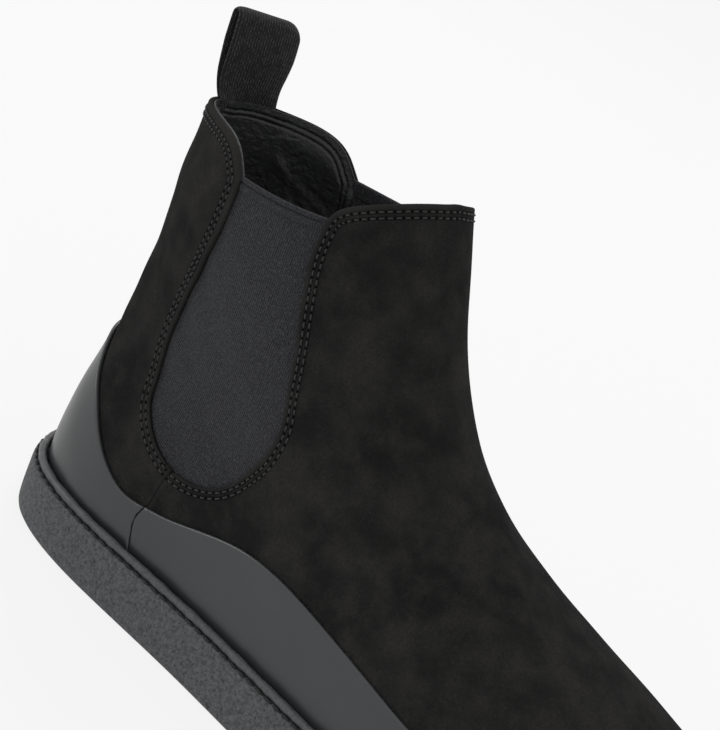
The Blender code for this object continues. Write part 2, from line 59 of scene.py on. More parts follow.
# %% [markdown]
# ## The last
# Shoemakers start from a last, a solid foot. Here it is a stack of sections, each with the height and
# place of its back and front, its half widths, and how oval it is. A smooth cubic runs through the
# sections, and one through the foot's outline. A cage of a few control points with a subdivision
# surface would be quicker to draw, but then no layer could ask where a given height or turn lies.
# %% Sections of the last
# Height and x at the back, height and x at the front, half width outside and inside (mm), roundness.
LAST_SECTIONS = np.array(
    [
        (14, 6.0, 14, 277.5, 49.2, 49.2, 0.00),
        (24, 5.0, 25, 279.0, 49.6, 49.2, 0.00),
        (36, 5.0, 38, 273.5, 48.6, 47.8, 0.05),
        (48, 5.9, 50, 257.0, 46.0, 44.0, 0.20),
        (60, 7.0, 61, 231.5, 40.5, 39.5, 0.30),
        (74, 6.5, 73, 195.5, 36.5, 36.5, 0.50),
        (90, 6.0, 88, 163.0, 34.0, 34.0, 0.70),
        (107, 5.5, 107, 140.0, 33.5, 33.5, 0.85),
        (125, 3.5, 128, 123.5, 34.5, 34.0, 1.00),
        (142, 3.0, 148, 112.0, 33.5, 32.0, 1.00),
        (160, 1.5, 166, 102.5, 33.0, 30.5, 1.00),
        (178, 1.0, 184, 95.0, 33.0, 30.0, 1.00),
    ]
)
FOOT_OUTLINE = np.array(
    [
        (0.000, 0.00), (0.012, 0.22), (0.050, 0.45), (0.120, 0.60), (0.220, 0.68), (0.350, 0.76),
        (0.500, 0.90), (0.630, 0.99), (0.730, 1.00), (0.830, 0.92), (0.910, 0.72), (0.965, 0.42),
        (0.990, 0.12), (1.000, -0.14), (0.992, -0.40), (0.965, -0.68), (0.910, -0.90), (0.820, -1.00),
        (0.720, -0.99), (0.600, -0.88), (0.480, -0.72), (0.350, -0.66), (0.220, -0.64), (0.120, -0.58),
        (0.050, -0.44), (0.012, -0.22),
    ]
)
OUTLINE_STRETCH = 2.7
SHAFT_TWIST = 10.7
TWIST_CENTRE = 42.0
TWIST_HEIGHTS = (35.0, 120.0)
FEATHER_HEIGHT = 17.1


def spline(knots, at, closed=False, stretch=None):
    """The cubic through the knots whose second derivative is continuous, at some places along it.

    Between two knots it is the Hermite cubic of their values and slopes, and the slopes solve the
    tridiagonal system that makes curvature agree on both sides of every knot.
    """
    knots = np.asarray(knots, float)
    steps = np.diff(np.vstack([knots, knots[:1]]) if closed else knots, axis=0)
    lengths = np.ones(len(steps)) if stretch is None else np.hypot(steps[:, 0] * stretch, steps[:, 1])
    size = len(knots)
    matrix = np.zeros((size, size))
    right = np.zeros_like(knots)
    for i in range(size):
        if closed or 0 < i < size - 1:
            before, after = lengths[i - 1], lengths[i]
            matrix[i, (i - 1) % size] = after
            matrix[i, i] = 2 * (before + after)
            matrix[i, (i + 1) % size] = before
            right[i] = 3 * (after * steps[i - 1] / before + before * steps[i] / after)
    if not closed:
        matrix[0, :2] = (2, 1)
        matrix[-1, -2:] = (1, 2)
        right[0] = 3 * steps[0] / lengths[0]
        right[-1] = 3 * steps[-1] / lengths[-1]
    slopes = np.linalg.solve(matrix, right)
    places = np.concatenate([[0], np.cumsum(lengths)])
    if isinstance(at, int):
        at = np.linspace(0, places[-1], at, endpoint=not closed)
    span = np.clip(np.searchsorted(places, at, side="right") - 1, 0, len(lengths) - 1)
    share = ((at - places[span]) / lengths[span])[..., None]
    after = (span + 1) % size
    width = lengths[span][..., None]
    return (
        knots[span] * (1 + 2 * share) * (1 - share) ** 2
        + knots[after] * share**2 * (3 - 2 * share)
        + width * slopes[span] * share * (1 - share) ** 2
        - width * slopes[after] * share**2 * (1 - share)
    )


def outline_table(count=1440):
    """The foot's outline at even steps of turn, with the tip of the toe half way round."""
    outline = spline(FOOT_OUTLINE, count, closed=True, stretch=OUTLINE_STRETCH)
    tip = int(np.argmax(outline[:, 0]))
    steps = np.arange(count + 1)
    half = count // 2
    rising = steps * tip / half
    falling = tip + (steps - half) * (count - tip) / (count - half)
    source = np.where(steps <= half, rising, falling)
    looped = np.vstack([outline, outline[:1]])
    return np.stack([np.interp(source, steps, looped[:, k]) for k in range(2)], 1)


OUTLINE_TABLE = outline_table()


def last_point(turn, level):
    """A point of the last: the section at a level, followed round by a turn in degrees.

    Along and across are the foot's outline, fading into an oval (1 - cos) / 2 and sin with the
    section's roundness. Then the whole is turned a little about an upright line, more with height.
    """
    section = spline(LAST_SECTIONS, level.ravel()).reshape(level.shape + (7,))
    back_z, back_x, front_z, front_x, outer, inner, roundness = np.moveaxis(section, -1, 0)
    steps = np.arange(len(OUTLINE_TABLE))
    at = (turn % 360) / 360 * (len(OUTLINE_TABLE) - 1)
    angle = np.radians(turn)
    foot_along, foot_across = (np.interp(at, steps, OUTLINE_TABLE[:, k]) for k in range(2))
    along = foot_along * (1 - roundness) + (1 - np.cos(angle)) / 2 * roundness
    across = foot_across * (1 - roundness) + np.sin(angle) * roundness
    y = -np.where(across > 0, across * outer, across * inner)
    x = back_x + (front_x - back_x) * along - TWIST_CENTRE
    z = back_z + (front_z - back_z) * along
    low, high = TWIST_HEIGHTS
    share = np.clip((z - low) / (high - low), 0, 1)
    twist = -math.radians(SHAFT_TWIST) * share * share * (3 - 2 * share)
    turned_x = TWIST_CENTRE + np.cos(twist) * x - np.sin(twist) * y
    turned_y = np.sin(twist) * x + np.cos(twist) * y
    return np.stack([turned_x, turned_y, z], -1)


def level_at(turn, height):
    """The level whose point has a given height, by halving and then by three Newton steps."""
    low = np.zeros_like(turn)
    high = np.full_like(turn, len(LAST_SECTIONS) - 1)
    for _ in range(9):
        middle = (low + high) / 2
        above = last_point(turn, middle)[..., 2] > height
        high = np.where(above, middle, high)
        low = np.where(above, low, middle)
    level = (low + high) / 2
    for _ in range(3):
        here = last_point(turn, level)[..., 2]
        slope = (last_point(turn, level + 0.01)[..., 2] - here) / 0.01
        level = np.clip(level - (here - height) / slope, 0, len(LAST_SECTIONS) - 1)
    return level


def on_last(turn, height, offset=0.0):
    """The point at a turn and height, moved out along the last's normal by an offset (mm)."""
    turn, height = np.broadcast_arrays(np.asarray(turn, float), np.asarray(height, float))
    level = level_at(turn, height)
    small = 0.02
    round_step = last_point(turn + small * 10, level) - last_point(turn - small * 10, level)
    up_step = last_point(turn, level + small) - last_point(turn, level - small)
    normal = np.cross(round_step, up_step)
    normal /= np.linalg.norm(normal, axis=-1, keepdims=True)
    return last_point(turn, level) + np.asarray(offset)[..., None] * normal


def sole_outline(turn, offset):
    """The foot of the upper seen from above, moved outwards by an offset (mm)."""
    place = on_last(turn, FEATHER_HEIGHT)[..., :2]
    step = on_last(turn + 0.5, FEATHER_HEIGHT)[..., :2] - on_last(turn - 0.5, FEATHER_HEIGHT)[..., :2]
    normal = np.stack([step[..., 1], -step[..., 0]], -1)
    normal /= np.linalg.norm(normal, axis=-1, keepdims=True)
    return place + np.asarray(offset)[..., None] * normal


SOLE_FLARE = 6.9
widest = sole_outline(np.linspace(0, 360, 721), SOLE_FLARE)
sole_middle = np.mean(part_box("outsole"), axis=0) / MM
CENTRE = np.append((widest.min(0) + widest.max(0)) / 2 - sole_middle[:2], 0)
print("sole", (widest.max(0) - widest.min(0)).round(1), "mm, origin at", CENTRE.round(2))


def in_metres(points):
    """Places in mm from the heel as places in the shared frame."""
    return (np.asarray(points, float) - CENTRE) * MM

# %% [markdown]
# ## Patterns
# A pattern piece is drawn as four edges in turn and height, as a pattern cutter draws on a taped last.
# The inside of the piece is a Coons patch, the blend of the two pairs of opposite edges. Edges come
# from a few knots each, so a seam that two pieces share is written once.
# %% Pattern edges
MEDIAL_SHIFT = 8.0
GORE_BOTTOM = (49.5, 49.4)
GORE_REAR = [
    GORE_BOTTOM, (47.0, 50.3), (44.6, 52.3), (42.4, 55.7), (41.2, 60.6), (42.9, 67), (47.3, 77.3),
    (53.1, 88.4), (60.2, 100.3), (69.1, 112.8), (76, 123.5), (79, 131.5), (80.1, 141.7),
]
GORE_FRONT = [
    GORE_BOTTOM, (52, 49.7), (54.9, 50.8), (59.5, 53.8), (65, 58.8), (73.1, 66.1), (85.3, 75.5), (92.8, 82.1),
    (98.9, 88.8), (103.5, 96.9), (107.5, 105.2), (111.6, 116.9), (113.5, 128), (115.3, 139.7), (117.7, 147.2),
]
SIDE_SEAM = [(44.9, FEATHER_HEIGHT), (43.9, 24.4), (43.6, 29), (44.7, 34.1)]
SEAM_TO_GORE = [(46.3, 41.0), (48.0, 46.0)]
REAR_RIM = [(0, 148.5), (28, 149.8), (48, 150.7), (61, 151), (73.6, 148.2), (80.1, 141.7)]
FRONT_RIM = [
    (117.7, 147.2), (120.4, 150.6), (123.5, 152.9), (132.8, 157.2), (145, 161.2), (164.4, 165.2),
    (180, 166.5),
]
HEEL_OVERLAY_TOP = [
    (0, 67), (12, 64.5), (20, 56.7), (27.2, 48.7), (31.5, 41.5), (36.5, 35), (40.2, 33), (44.7, 34.1),
]
RAND_TOP = [
    (44.7, 34.1), (48.3, 35.8), (54.9, 39.8), (62.3, 44.1), (70.1, 47.2), (77, 47.9), (87.8, 45.3),
    (95, 41.9), (101, 39), (115, 36.5), (135, 35), (158, 34.5), (180, 34.5),
]


def even(line, count):
    """A line of points given again at even steps along its length."""
    place = np.concatenate([[0], np.cumsum(np.linalg.norm(np.diff(line, axis=0), axis=1))])
    at = np.linspace(0, place[-1], count) if isinstance(count, int) else np.asarray(count) * place[-1]
    return np.stack([np.interp(at, place, line[:, k]) for k in range(line.shape[1])], 1)


def smooth_line(knots, count=400):
    """The smooth cubic through some knots of turn and height, at even steps."""
    return even(spline(knots, 1200, stretch=1.0), count)


def inner_side(line, rear):
    """The same line on the inner side of the foot, a little further back towards the top."""
    turn, height = np.asarray(line, float).T
    shift = MEDIAL_SHIFT * np.clip((height - 50) / 95, 0, 1) * np.sin(np.radians(turn))
    return np.stack([-(turn - shift) if rear else 360 - (turn - shift), height], 1)


def both_rear(line):
    """A line of the rear half, from the inner side round the heel to the outer side."""
    return np.vstack([inner_side(line, rear=True)[::-1][:-1], line])


def both_front(line):
    """A line of the front half, from the outer side round the toe to the inner side."""
    return np.vstack([line, inner_side(line, rear=False)[::-1][1:]])


def level_line(start, end, height):
    """A line at one height between two turns."""
    return np.column_stack([np.linspace(start, end, 400), np.full(400, float(height))])


def patch(bottom, top, left, right, across, up):
    """Coons patch: the sum of both ruled surfaces minus the bilinear one through the corners."""
    bottom, top = even(bottom, across), even(top, across)
    left, right = even(left, up), even(right, up)
    s, t = across[None, :, None], up[:, None, None]
    ruled = (1 - t) * bottom[None] + t * top[None] + (1 - s) * left[:, None] + s * right[:, None]
    corners = (1 - t) * ((1 - s) * bottom[0] + s * bottom[-1]) + t * ((1 - s) * top[0] + s * top[-1])
    return ruled - corners


def graded(length, step, fine=(0.0, 0.08, 0.25, 0.5, 0.8, 1.2, 1.8)):
    """Shares from 0 to 1 for a side of some length (mm): fine at both ends, even in between."""
    ends = np.array(fine) / length
    count = max(int((1 - 2 * ends[-1]) * length / step), 2)
    return np.concatenate([ends[:-1], np.linspace(ends[-1], 1 - ends[-1], count), 1 - ends[:-1][::-1]])


gore_rear = smooth_line(GORE_REAR)
gore_front = smooth_line(GORE_FRONT)
side_seam = np.vstack([smooth_line(SIDE_SEAM, 100), SEAM_TO_GORE])
rear_rim = both_rear(smooth_line(REAR_RIM))
front_rim = both_front(smooth_line(FRONT_RIM))
print("edges:", len(gore_rear), len(front_rim))

# %% [markdown]
# ## From patterns to leather
# Leather has thickness and a worked edge. Each piece is a closed shell: an outer grid, an inner grid
# and a wall between them. Close to a raw edge the outer grid drops in a quarter circle, which gives
# the soft edge a skiving knife leaves. A Solidify and a Bevel could do this, but the distance to the
# edge is wanted anyway, for the stitching and the painted edge highlight, so it is worked out once and kept
# on the mesh.
# %% Shells
def grid_faces(rows, columns, first=0, flip=False):
    """Quads of a rows by columns grid, as an array of vertex numbers."""
    index = np.arange(rows * columns).reshape(rows, columns) + first
    quads = np.stack([index[:-1, :-1], index[:-1, 1:], index[1:, 1:], index[1:, :-1]], -1).reshape(-1, 4)
    return quads[:, ::-1] if flip else quads


def add_piece(name, points, quads, material, attributes=None, uv=None):
    """A mesh object from points in mm about the heel, smooth shaded, with its own attributes."""
    mesh = bpy.data.meshes.new(name)
    mesh.from_pydata(in_metres(points).tolist(), [], quads.tolist())
    mesh.shade_smooth()
    mesh.materials.append(material)
    for key, values in (attributes or {}).items():
        kept = mesh.attributes.new(key, "FLOAT", "POINT")
        kept.data.foreach_set("value", values.ravel().astype(np.float32))
    if uv is not None:
        layer = mesh.uv_layers.new(name="UVMap")
        corners = np.zeros(len(mesh.loops), np.int32)
        mesh.loops.foreach_get("vertex_index", corners)
        layer.data.foreach_set("uv", uv.reshape(-1, 2)[corners].ravel().astype(np.float32))
    piece = bpy.data.objects.new(name, mesh)
    bpy.context.scene.collection.objects.link(piece)
    print(f"{name}: {len(mesh.vertices)} points, {len(mesh.polygons)} faces")
    return piece


def distance_to(points, line):
    """For each point, the distance to a line and the run along the line of the nearest place (mm)."""
    run = np.concatenate([[0], np.cumsum(np.linalg.norm(np.diff(line, axis=0), axis=1))])
    flat = points.reshape(-1, 3)
    best = np.full(len(flat), 1e9)
    where = np.zeros(len(flat))
    start, step = line[:-1], np.diff(line, axis=0)
    square = (step**2).sum(1)
    for block in np.array_split(np.arange(len(flat)), max(len(flat) // 4000, 1)):
        gap = flat[block][:, None] - start[None]
        share = np.clip((gap * step).sum(-1) / square, 0, 1)
        away = np.linalg.norm(gap - share[..., None] * step, axis=-1)
        nearest = away.argmin(1)
        picked = np.arange(len(block)), nearest
        best[block] = away[picked]
        where[block] = run[nearest] + share[picked] * np.sqrt(square[nearest])
    return best.reshape(points.shape[:-1]), where.reshape(points.shape[:-1])


def quarter_round(distance, radius):
    """How far a rounded edge has dropped at a distance from it: a circle's quarter."""
    inside = np.clip(radius - distance, 0, radius)
    return radius - np.sqrt(np.maximum(radius**2 - inside**2, 0))


def border(grid):
    """The four sides of a grid of points, as one closed line."""
    return np.vstack([grid[0], grid[1:, -1], grid[-1, ::-1][1:], grid[::-1, 0][1:]])


def shell(name, places, outer, inner, material, attributes=None, uv=None):
    """A closed leather piece between two offsets from the last, each a number or a grid."""
    rows, columns = places.shape[:2]
    turn, height = places[..., 0], places[..., 1]
    outside = on_last(turn, height, np.broadcast_to(outer, turn.shape))
    inside = on_last(turn, height, np.broadcast_to(inner, turn.shape))
    count = rows * columns
    index = np.arange(count).reshape(rows, columns)
    rim = np.concatenate([index[0], index[1:, -1], index[-1, ::-1][1:], index[::-1, 0][1:-1]])
    after = np.roll(rim, -1)
    wall = np.stack([rim, rim + count, after + count, after], 1)
    quads = np.vstack([grid_faces(rows, columns), grid_faces(rows, columns, count, flip=True), wall])
    points = np.concatenate([outside.reshape(-1, 3), inside.reshape(-1, 3)])
    doubled = {key: np.concatenate([value.ravel()] * 2) for key, value in (attributes or {}).items()}
    both_uv = None if uv is None else np.concatenate([uv.reshape(-1, 2)] * 2)
    return add_piece(name, points, quads, material, doubled, both_uv)


print("shells ready")

# %% [markdown]
# ## Finishes
# Each finish is a Principled shader. What several share is a node group with named inputs: grain, for
# bumps and shade from layered noise, and stitch rows, for the dents that thread pulls into leather.
# %% Node helpers
def new_group(name, inputs, outputs):
    """An empty shader node group with float inputs (name: value) and outputs (name: socket type)."""
    group = bpy.data.node_groups.new(name, "ShaderNodeTree")
    for key, value in inputs.items():
        kind = "NodeSocketVector" if value is None else "NodeSocketFloat"
        socket = group.interface.new_socket(key, in_out="INPUT", socket_type=kind)
        if value is not None:
            socket.default_value = value
    for key in outputs:
        group.interface.new_socket(key, in_out="OUTPUT", socket_type="NodeSocketFloat")
    return group, group.nodes.new("NodeGroupInput"), group.nodes.new("NodeGroupOutput")


def link_math(tree, operation, *values):
    """A Math node whose inputs are sockets or numbers; returns its output."""
    node = tree.nodes.new("ShaderNodeMath")
    node.operation = operation
    for place, value in enumerate(values):
        if isinstance(value, bpy.types.NodeSocket):
            tree.links.new(value, node.inputs[place])
        else:
            node.inputs[place].default_value = value
    return node.outputs[0]


def link_noise(tree, vector, scale, detail=3.0, roughness=0.55):
    """A Noise Texture node's value, from 0 to 1; the scale is a number or a socket."""
    node = tree.nodes.new("ShaderNodeTexNoise")
    tree.links.new(vector, node.inputs["Vector"])
    if isinstance(scale, bpy.types.NodeSocket):
        tree.links.new(scale, node.inputs["Scale"])
    else:
        node.inputs["Scale"].default_value = scale
    node.inputs["Detail"].default_value = detail
    node.inputs["Roughness"].default_value = roughness
    return node.outputs["Fac"]


def grain_group():
    """Nap or pebble: fine noise for the bump, and broad clouds for the shade."""
    group, come, go = new_group("grain", {"Vector": None, "Fine Scale": 900.0, "Cloud Scale": 22.0},
                                ["Height", "Clouds", "Specks"])
    fine = link_noise(group, come.outputs["Vector"], come.outputs["Fine Scale"], 4.0, 0.65)
    clouds = link_noise(group, come.outputs["Vector"], come.outputs["Cloud Scale"], 4.0, 0.6)
    speck_scale = link_math(group, "MULTIPLY", come.outputs["Fine Scale"], 1.7)
    dust = link_noise(group, come.outputs["Vector"], speck_scale, 1.0)
    specks = link_math(group, "GREATER_THAN", dust, 0.74)
    group.links.new(fine, go.inputs["Height"])
    group.links.new(clouds, go.inputs["Clouds"])
    group.links.new(specks, go.inputs["Specks"])
    return group


def stitch_group():
    """Two rows beside an edge: a shallow valley along each, and a needle hole at every stitch end.

    Distance counts from the first row. A valley is exp(-3.6 d^2). A hole is exp(-7 d^2) times
    ((1 + cos(2 pi run / pitch)) / 2)^3.5, which peaks once every stitch.
    """
    inputs = {"Distance": 99.0, "Run": 0.0, "Row Gap": 1.85, "Pitch": 2.6}
    group, come, go = new_group("stitch_rows", inputs, ["Valley", "Hole"])
    away = come.outputs["Distance"]
    second = link_math(group, "SUBTRACT", away, come.outputs["Row Gap"])
    to_first, to_second = (link_math(group, "ABSOLUTE", row) for row in (away, second))
    nearest = link_math(group, "MINIMUM", to_first, to_second)
    square = link_math(group, "POWER", nearest, 2.0)
    valley = link_math(group, "EXPONENT", link_math(group, "MULTIPLY", square, -3.6))
    core = link_math(group, "EXPONENT", link_math(group, "MULTIPLY", square, -7.0))
    beat = link_math(group, "DIVIDE", come.outputs["Run"], come.outputs["Pitch"])
    wave = link_math(group, "COSINE", link_math(group, "MULTIPLY", beat, 2 * math.pi))
    holes = link_math(group, "POWER", link_math(group, "MULTIPLY_ADD", wave, 0.5, 0.5), 3.5)
    group.links.new(valley, go.inputs["Valley"])
    group.links.new(link_math(group, "MULTIPLY", holes, core), go.inputs["Hole"])
    return group


GRAIN = grain_group()
STITCHES = stitch_group()


def new_material(name, colour, roughness, specular=0.5, sheen=0.0, sheen_roughness=0.4):
    """A material with a Principled shader; what is the same all over is set on the shader itself."""
    material = bpy.data.materials.new(name)
    material.use_nodes = True
    shader = material.node_tree.nodes["Principled BSDF"]
    shader.inputs["Base Color"].default_value = (*colour, 1)
    shader.inputs["Roughness"].default_value = roughness
    shader.inputs["Specular IOR Level"].default_value = specular
    shader.inputs["Sheen Weight"].default_value = sheen
    shader.inputs["Sheen Roughness"].default_value = sheen_roughness
    return material, material.node_tree, shader


def group_node(tree, group, **values):
    """A group placed in a material, with its inputs named in lower case; returns its outputs."""
    node = tree.nodes.new("ShaderNodeGroup")
    node.node_tree = group
    for key, value in values.items():
        socket = node.inputs[key.replace("_", " ").title()]
        if isinstance(value, bpy.types.NodeSocket):
            tree.links.new(value, socket)
        else:
            socket.default_value = value
    return node.outputs


def attribute(tree, name):
    """A value kept on the mesh, such as the distance to the edge."""
    node = tree.nodes.new("ShaderNodeAttribute")
    node.attribute_name = name
    return node.outputs["Fac"]


def object_coordinates(tree):
    return tree.nodes.new("ShaderNodeTexCoord").outputs["Object"]


def colour_mix(tree, share, first, second):
    """A colour between two, by a share from 0 to 1."""
    node = tree.nodes.new("ShaderNodeMix")
    node.data_type = "RGBA"
    for socket, value in ((node.inputs[0], share), (node.inputs[6], first), (node.inputs[7], second)):
        if isinstance(value, bpy.types.NodeSocket):
            tree.links.new(value, socket)
        else:
            socket.default_value = value if isinstance(value, (int, float)) else (*value, 1)
    return node.outputs[2]


def bump(tree, height, distance_mm, strength=1.0, normal=None):
    """The normal of a surface raised by a height times a distance in mm, over another normal."""
    node = tree.nodes.new("ShaderNodeBump")
    tree.links.new(height, node.inputs["Height"])
    node.inputs["Distance"].default_value = distance_mm * MM
    node.inputs["Strength"].default_value = strength
    if normal is not None:
        tree.links.new(normal, node.inputs["Normal"])
    return node.outputs["Normal"]


def spread(tree, value, low, high, to_low=0.0, to_high=1.0):
    """A value stretched from one range to another, and held at its ends."""
    node = tree.nodes.new("ShaderNodeMapRange")
    tree.links.new(value, node.inputs["Value"])
    for key, number in (("From Min", low), ("From Max", high), ("To Min", to_low), ("To Max", to_high)):
        node.inputs[key].default_value = number
    return node.outputs["Result"]


def stitch_rows(tree):
    """The stitch group, fed with the distance and the run that are kept on the mesh."""
    distance, run = attribute(tree, "stitch_distance"), attribute(tree, "stitch_run")
    return group_node(tree, STITCHES, distance=distance, run=run)


print("node groups:", GRAIN.name, STITCHES.name)

# %% [markdown]
# ### Nubuck
# Nubuck is buffed on its outer side, so it has a short nap and no shine. Its black is cloudy where the
# nap lies different ways, a few fibres catch the light, and a painted highlight makes it a little paler
# along its edges. Hardly any specular is left, since nap swallows it, and a glossier black would turn grey
# at grazing angles. The valley and holes of the stitching come from the distance kept on the mesh, and
# the holes are painted darker, as painted shade.
# %% Nubuck finish
def nubuck_material():
    """Clouds, brushed streaks, pores, dust, painted edge highlight, painted hole shade: each mixed over the
    last.
    """
    material, tree, shader = new_material("nubuck", (0.0085, 0.0083, 0.0082), 1.0, 0.015, 0.004, 0.6)
    vector = object_coordinates(tree)
    grain = group_node(tree, GRAIN, vector=vector, fine_scale=1300.0, cloud_scale=48.0)
    rows = stitch_rows(tree)
    clouds = spread(tree, grain["Clouds"], 0.36, 0.66)
    shade = colour_mix(tree, clouds, (0.0128, 0.0124, 0.0122), (0.0240, 0.0231, 0.0224))
    brushed = spread(tree, link_noise(tree, vector, 95.0, 5.0, 0.7), 0.45, 0.72, 0.0, 0.55)
    shade = colour_mix(tree, brushed, shade, (0.0310, 0.0296, 0.0282))
    pores = spread(tree, grain["Height"], 0.35, 0.75, 0.0, 0.55)
    shade = colour_mix(tree, pores, shade, (0.0060, 0.0059, 0.0060))
    dust = link_math(tree, "MULTIPLY", grain["Specks"], 0.5)
    shade = colour_mix(tree, dust, shade, (0.060, 0.058, 0.055))
    # Painted highlight: the nubuck is painted paler within 2.4 mm of its edges.
    painted_edge_highlight = spread(tree, attribute(tree, "edge_distance"), 0.4, 2.4, 0.34, 0.0)
    shade = colour_mix(tree, painted_edge_highlight, shade, (0.030, 0.029, 0.028))
    # Painted shade: the stitch holes are painted near black.
    shade = colour_mix(tree, rows["Hole"], shade, (0.0008, 0.0008, 0.0008))
    tree.links.new(shade, shader.inputs["Base Color"])
    nap = bump(tree, grain["Height"], 0.25, 0.9)
    dents = link_math(tree, "ADD", rows["Valley"], link_math(tree, "MULTIPLY", rows["Hole"], 1.3))
    sunk = link_math(tree, "MULTIPLY", dents, -1.0)
    tree.links.new(bump(tree, sunk, 0.45, 1.0, nap), shader.inputs["Normal"])
    return material


NUBUCK = nubuck_material()
print("finish:", NUBUCK.name)

# %% [markdown]
# ### Smooth overlay leather, lining, elastic, rubber, thread and webbing
# The overlays are a coated leather: even charcoal, a very fine grain and a soft satin shine. The
# lining is thin and creased. The elastic is a close weave of ribs, drawn on the piece's own map in mm
# so that the ribs follow the gore. The sole's wall is moulded with a pebbled skin.
# %% Other finishes
def overlay_material():
    """Even charcoal with slow clouds in shade and roughness, and a painted highlight on the cut edge."""
    material, tree, shader = new_material("overlay_leather", (0.030, 0.031, 0.033), 0.36, 0.52)
    grain = group_node(tree, GRAIN, vector=object_coordinates(tree), fine_scale=1900.0, cloud_scale=14.0)
    clouds = spread(tree, grain["Clouds"], 0.3, 0.7)
    shade = colour_mix(tree, clouds, (0.0180, 0.0191, 0.0211), (0.0262, 0.0274, 0.0297))
    # Painted highlight: the overlay is painted paler within 0.8 mm of its cut edge.
    painted_edge_highlight = spread(tree, attribute(tree, "edge_distance"), 0.0, 0.8, 0.3, 0.0)
    tree.links.new(colour_mix(tree, painted_edge_highlight, shade, (0.075, 0.076, 0.079)), shader.inputs["Base Color"])
    tree.links.new(spread(tree, grain["Clouds"], 0.3, 0.7, 0.29, 0.40), shader.inputs["Roughness"])
    tree.links.new(bump(tree, grain["Height"], 0.05, 0.5), shader.inputs["Normal"])
    return material


def lining_material():
    """Thin leather: creases are |noise - 0.5|, which has sharp valleys, over a fine grain; painted shade in
    the stitch holes.
    """
    material, tree, shader = new_material("lining_leather", (0.0075, 0.0078, 0.0085), 0.50, 0.45)
    vector = object_coordinates(tree)
    grain = group_node(tree, GRAIN, vector=vector, fine_scale=900.0, cloud_scale=40.0)
    rows = stitch_rows(tree)
    clouds = spread(tree, grain["Clouds"], 0.3, 0.7)
    shade = colour_mix(tree, clouds, (0.0085, 0.0090, 0.0100), (0.0150, 0.0155, 0.0168))
    # Painted shade: the stitch holes are painted darker.
    holes = link_math(tree, "MULTIPLY", rows["Hole"], 0.8)
    shade = colour_mix(tree, holes, shade, (0.0015, 0.0015, 0.0018))
    tree.links.new(shade, shader.inputs["Base Color"])
    crumple = link_noise(tree, vector, 260.0, 3.0, 0.5)
    creases = link_math(tree, "ABSOLUTE", link_math(tree, "SUBTRACT", crumple, 0.5))
    fine = bump(tree, creases, 1.1, 0.8, bump(tree, grain["Height"], 0.22, 0.8))
    sunk = link_math(tree, "MULTIPLY", rows["Valley"], -1.0)
    tree.links.new(bump(tree, sunk, 0.35, 1.0, fine), shader.inputs["Normal"])
    return material


def uv_parts(tree):
    """The piece's own map, whose two directions are in mm."""
    split = tree.nodes.new("ShaderNodeSeparateXYZ")
    tree.links.new(tree.nodes.new("ShaderNodeTexCoord").outputs["UV"], split.inputs[0])
    return split.outputs[0], split.outputs[1]


def ripple(tree, value, pitch):
    """A wave from 0 to 1 with a crest every pitch mm."""
    wave = link_math(tree, "SINE", link_math(tree, "MULTIPLY", value, 2 * math.pi / pitch))
    return link_math(tree, "MULTIPLY_ADD", wave, 0.5, 0.5)


def elastic_material():
    """Ribs times picks, both shifted a little by noise, with a paler fuzz where the noise is high."""
    material, tree, shader = new_material("gore_elastic", (0.012, 0.0122, 0.013), 0.9, 0.15, 0.05, 0.5)
    across, along = uv_parts(tree)
    vector = object_coordinates(tree)
    grain = group_node(tree, GRAIN, vector=vector, fine_scale=1700.0, cloud_scale=30.0)
    wobble = link_math(tree, "MULTIPLY", grain["Height"], 0.9)
    ribs = ripple(tree, link_math(tree, "ADD", across, wobble), 0.80)
    picks = ripple(tree, link_math(tree, "ADD", along, link_math(tree, "MULTIPLY", wobble, 1.6)), 0.58)
    weave = link_math(tree, "MULTIPLY", ribs, link_math(tree, "MULTIPLY_ADD", picks, 0.6, 0.4))
    shade = colour_mix(tree, weave, (0.0068, 0.0073, 0.0087), (0.0385, 0.0396, 0.0430))
    loops = spread(tree, grain["Height"], 0.46, 0.66)
    shade = colour_mix(tree, link_math(tree, "MULTIPLY", loops, 0.7), shade, (0.0560, 0.0570, 0.0610))
    tree.links.new(shade, shader.inputs["Base Color"])
    knit = link_math(tree, "ADD", weave, link_math(tree, "MULTIPLY", grain["Height"], 0.8))
    tree.links.new(bump(tree, knit, 0.24, 0.9), shader.inputs["Normal"])
    return material


def rubber_material(name, dark, light, roughness, pebble_mm):
    """Moulded rubber whose pebbles are two sizes of noise added up: raised ones are painted lighter and pits
    darker, as painted light and shade.
    """
    material, tree, shader = new_material(name, dark, roughness, 0.3)
    vector = object_coordinates(tree)
    grain = group_node(tree, GRAIN, vector=vector, fine_scale=1500.0, cloud_scale=18.0)
    coarse = link_noise(tree, vector, 820.0, 4.0, 0.65)
    fine = link_math(tree, "MULTIPLY", grain["Height"], 0.9)
    pebbles = link_math(tree, "MULTIPLY_ADD", coarse, 1.1, fine)
    # Painted light and shade: raised pebbles are painted lighter and the pits darker.
    shade = colour_mix(tree, spread(tree, pebbles, 0.80, 1.20), dark, light)
    painted_pit_shade = spread(tree, pebbles, 0.74, 0.88, 0.5, 0.0)
    shade = colour_mix(tree, painted_pit_shade, shade, tuple(0.35 * part for part in dark))
    tree.links.new(shade, shader.inputs["Base Color"])
    tree.links.new(bump(tree, pebbles, pebble_mm, 0.9), shader.inputs["Normal"])
    return material


def fibre_material(name, colour):
    """Thread, board or cloth: one colour, with painted shade between its fibres."""
    material, tree, shader = new_material(name, colour, 0.6, 0.35)
    vector = object_coordinates(tree)
    grain = group_node(tree, GRAIN, vector=vector, fine_scale=4000.0, cloud_scale=300.0)
    # Painted shade: the colour is darker where the fibre noise is low, between the fibres.
    fibres = spread(tree, grain["Height"], 0.35, 0.65)
    darker = tuple(0.55 * part for part in colour)
    tree.links.new(colour_mix(tree, fibres, darker, colour), shader.inputs["Base Color"])
    tree.links.new(bump(tree, grain["Height"], 0.08, 0.8), shader.inputs["Normal"])
    return material


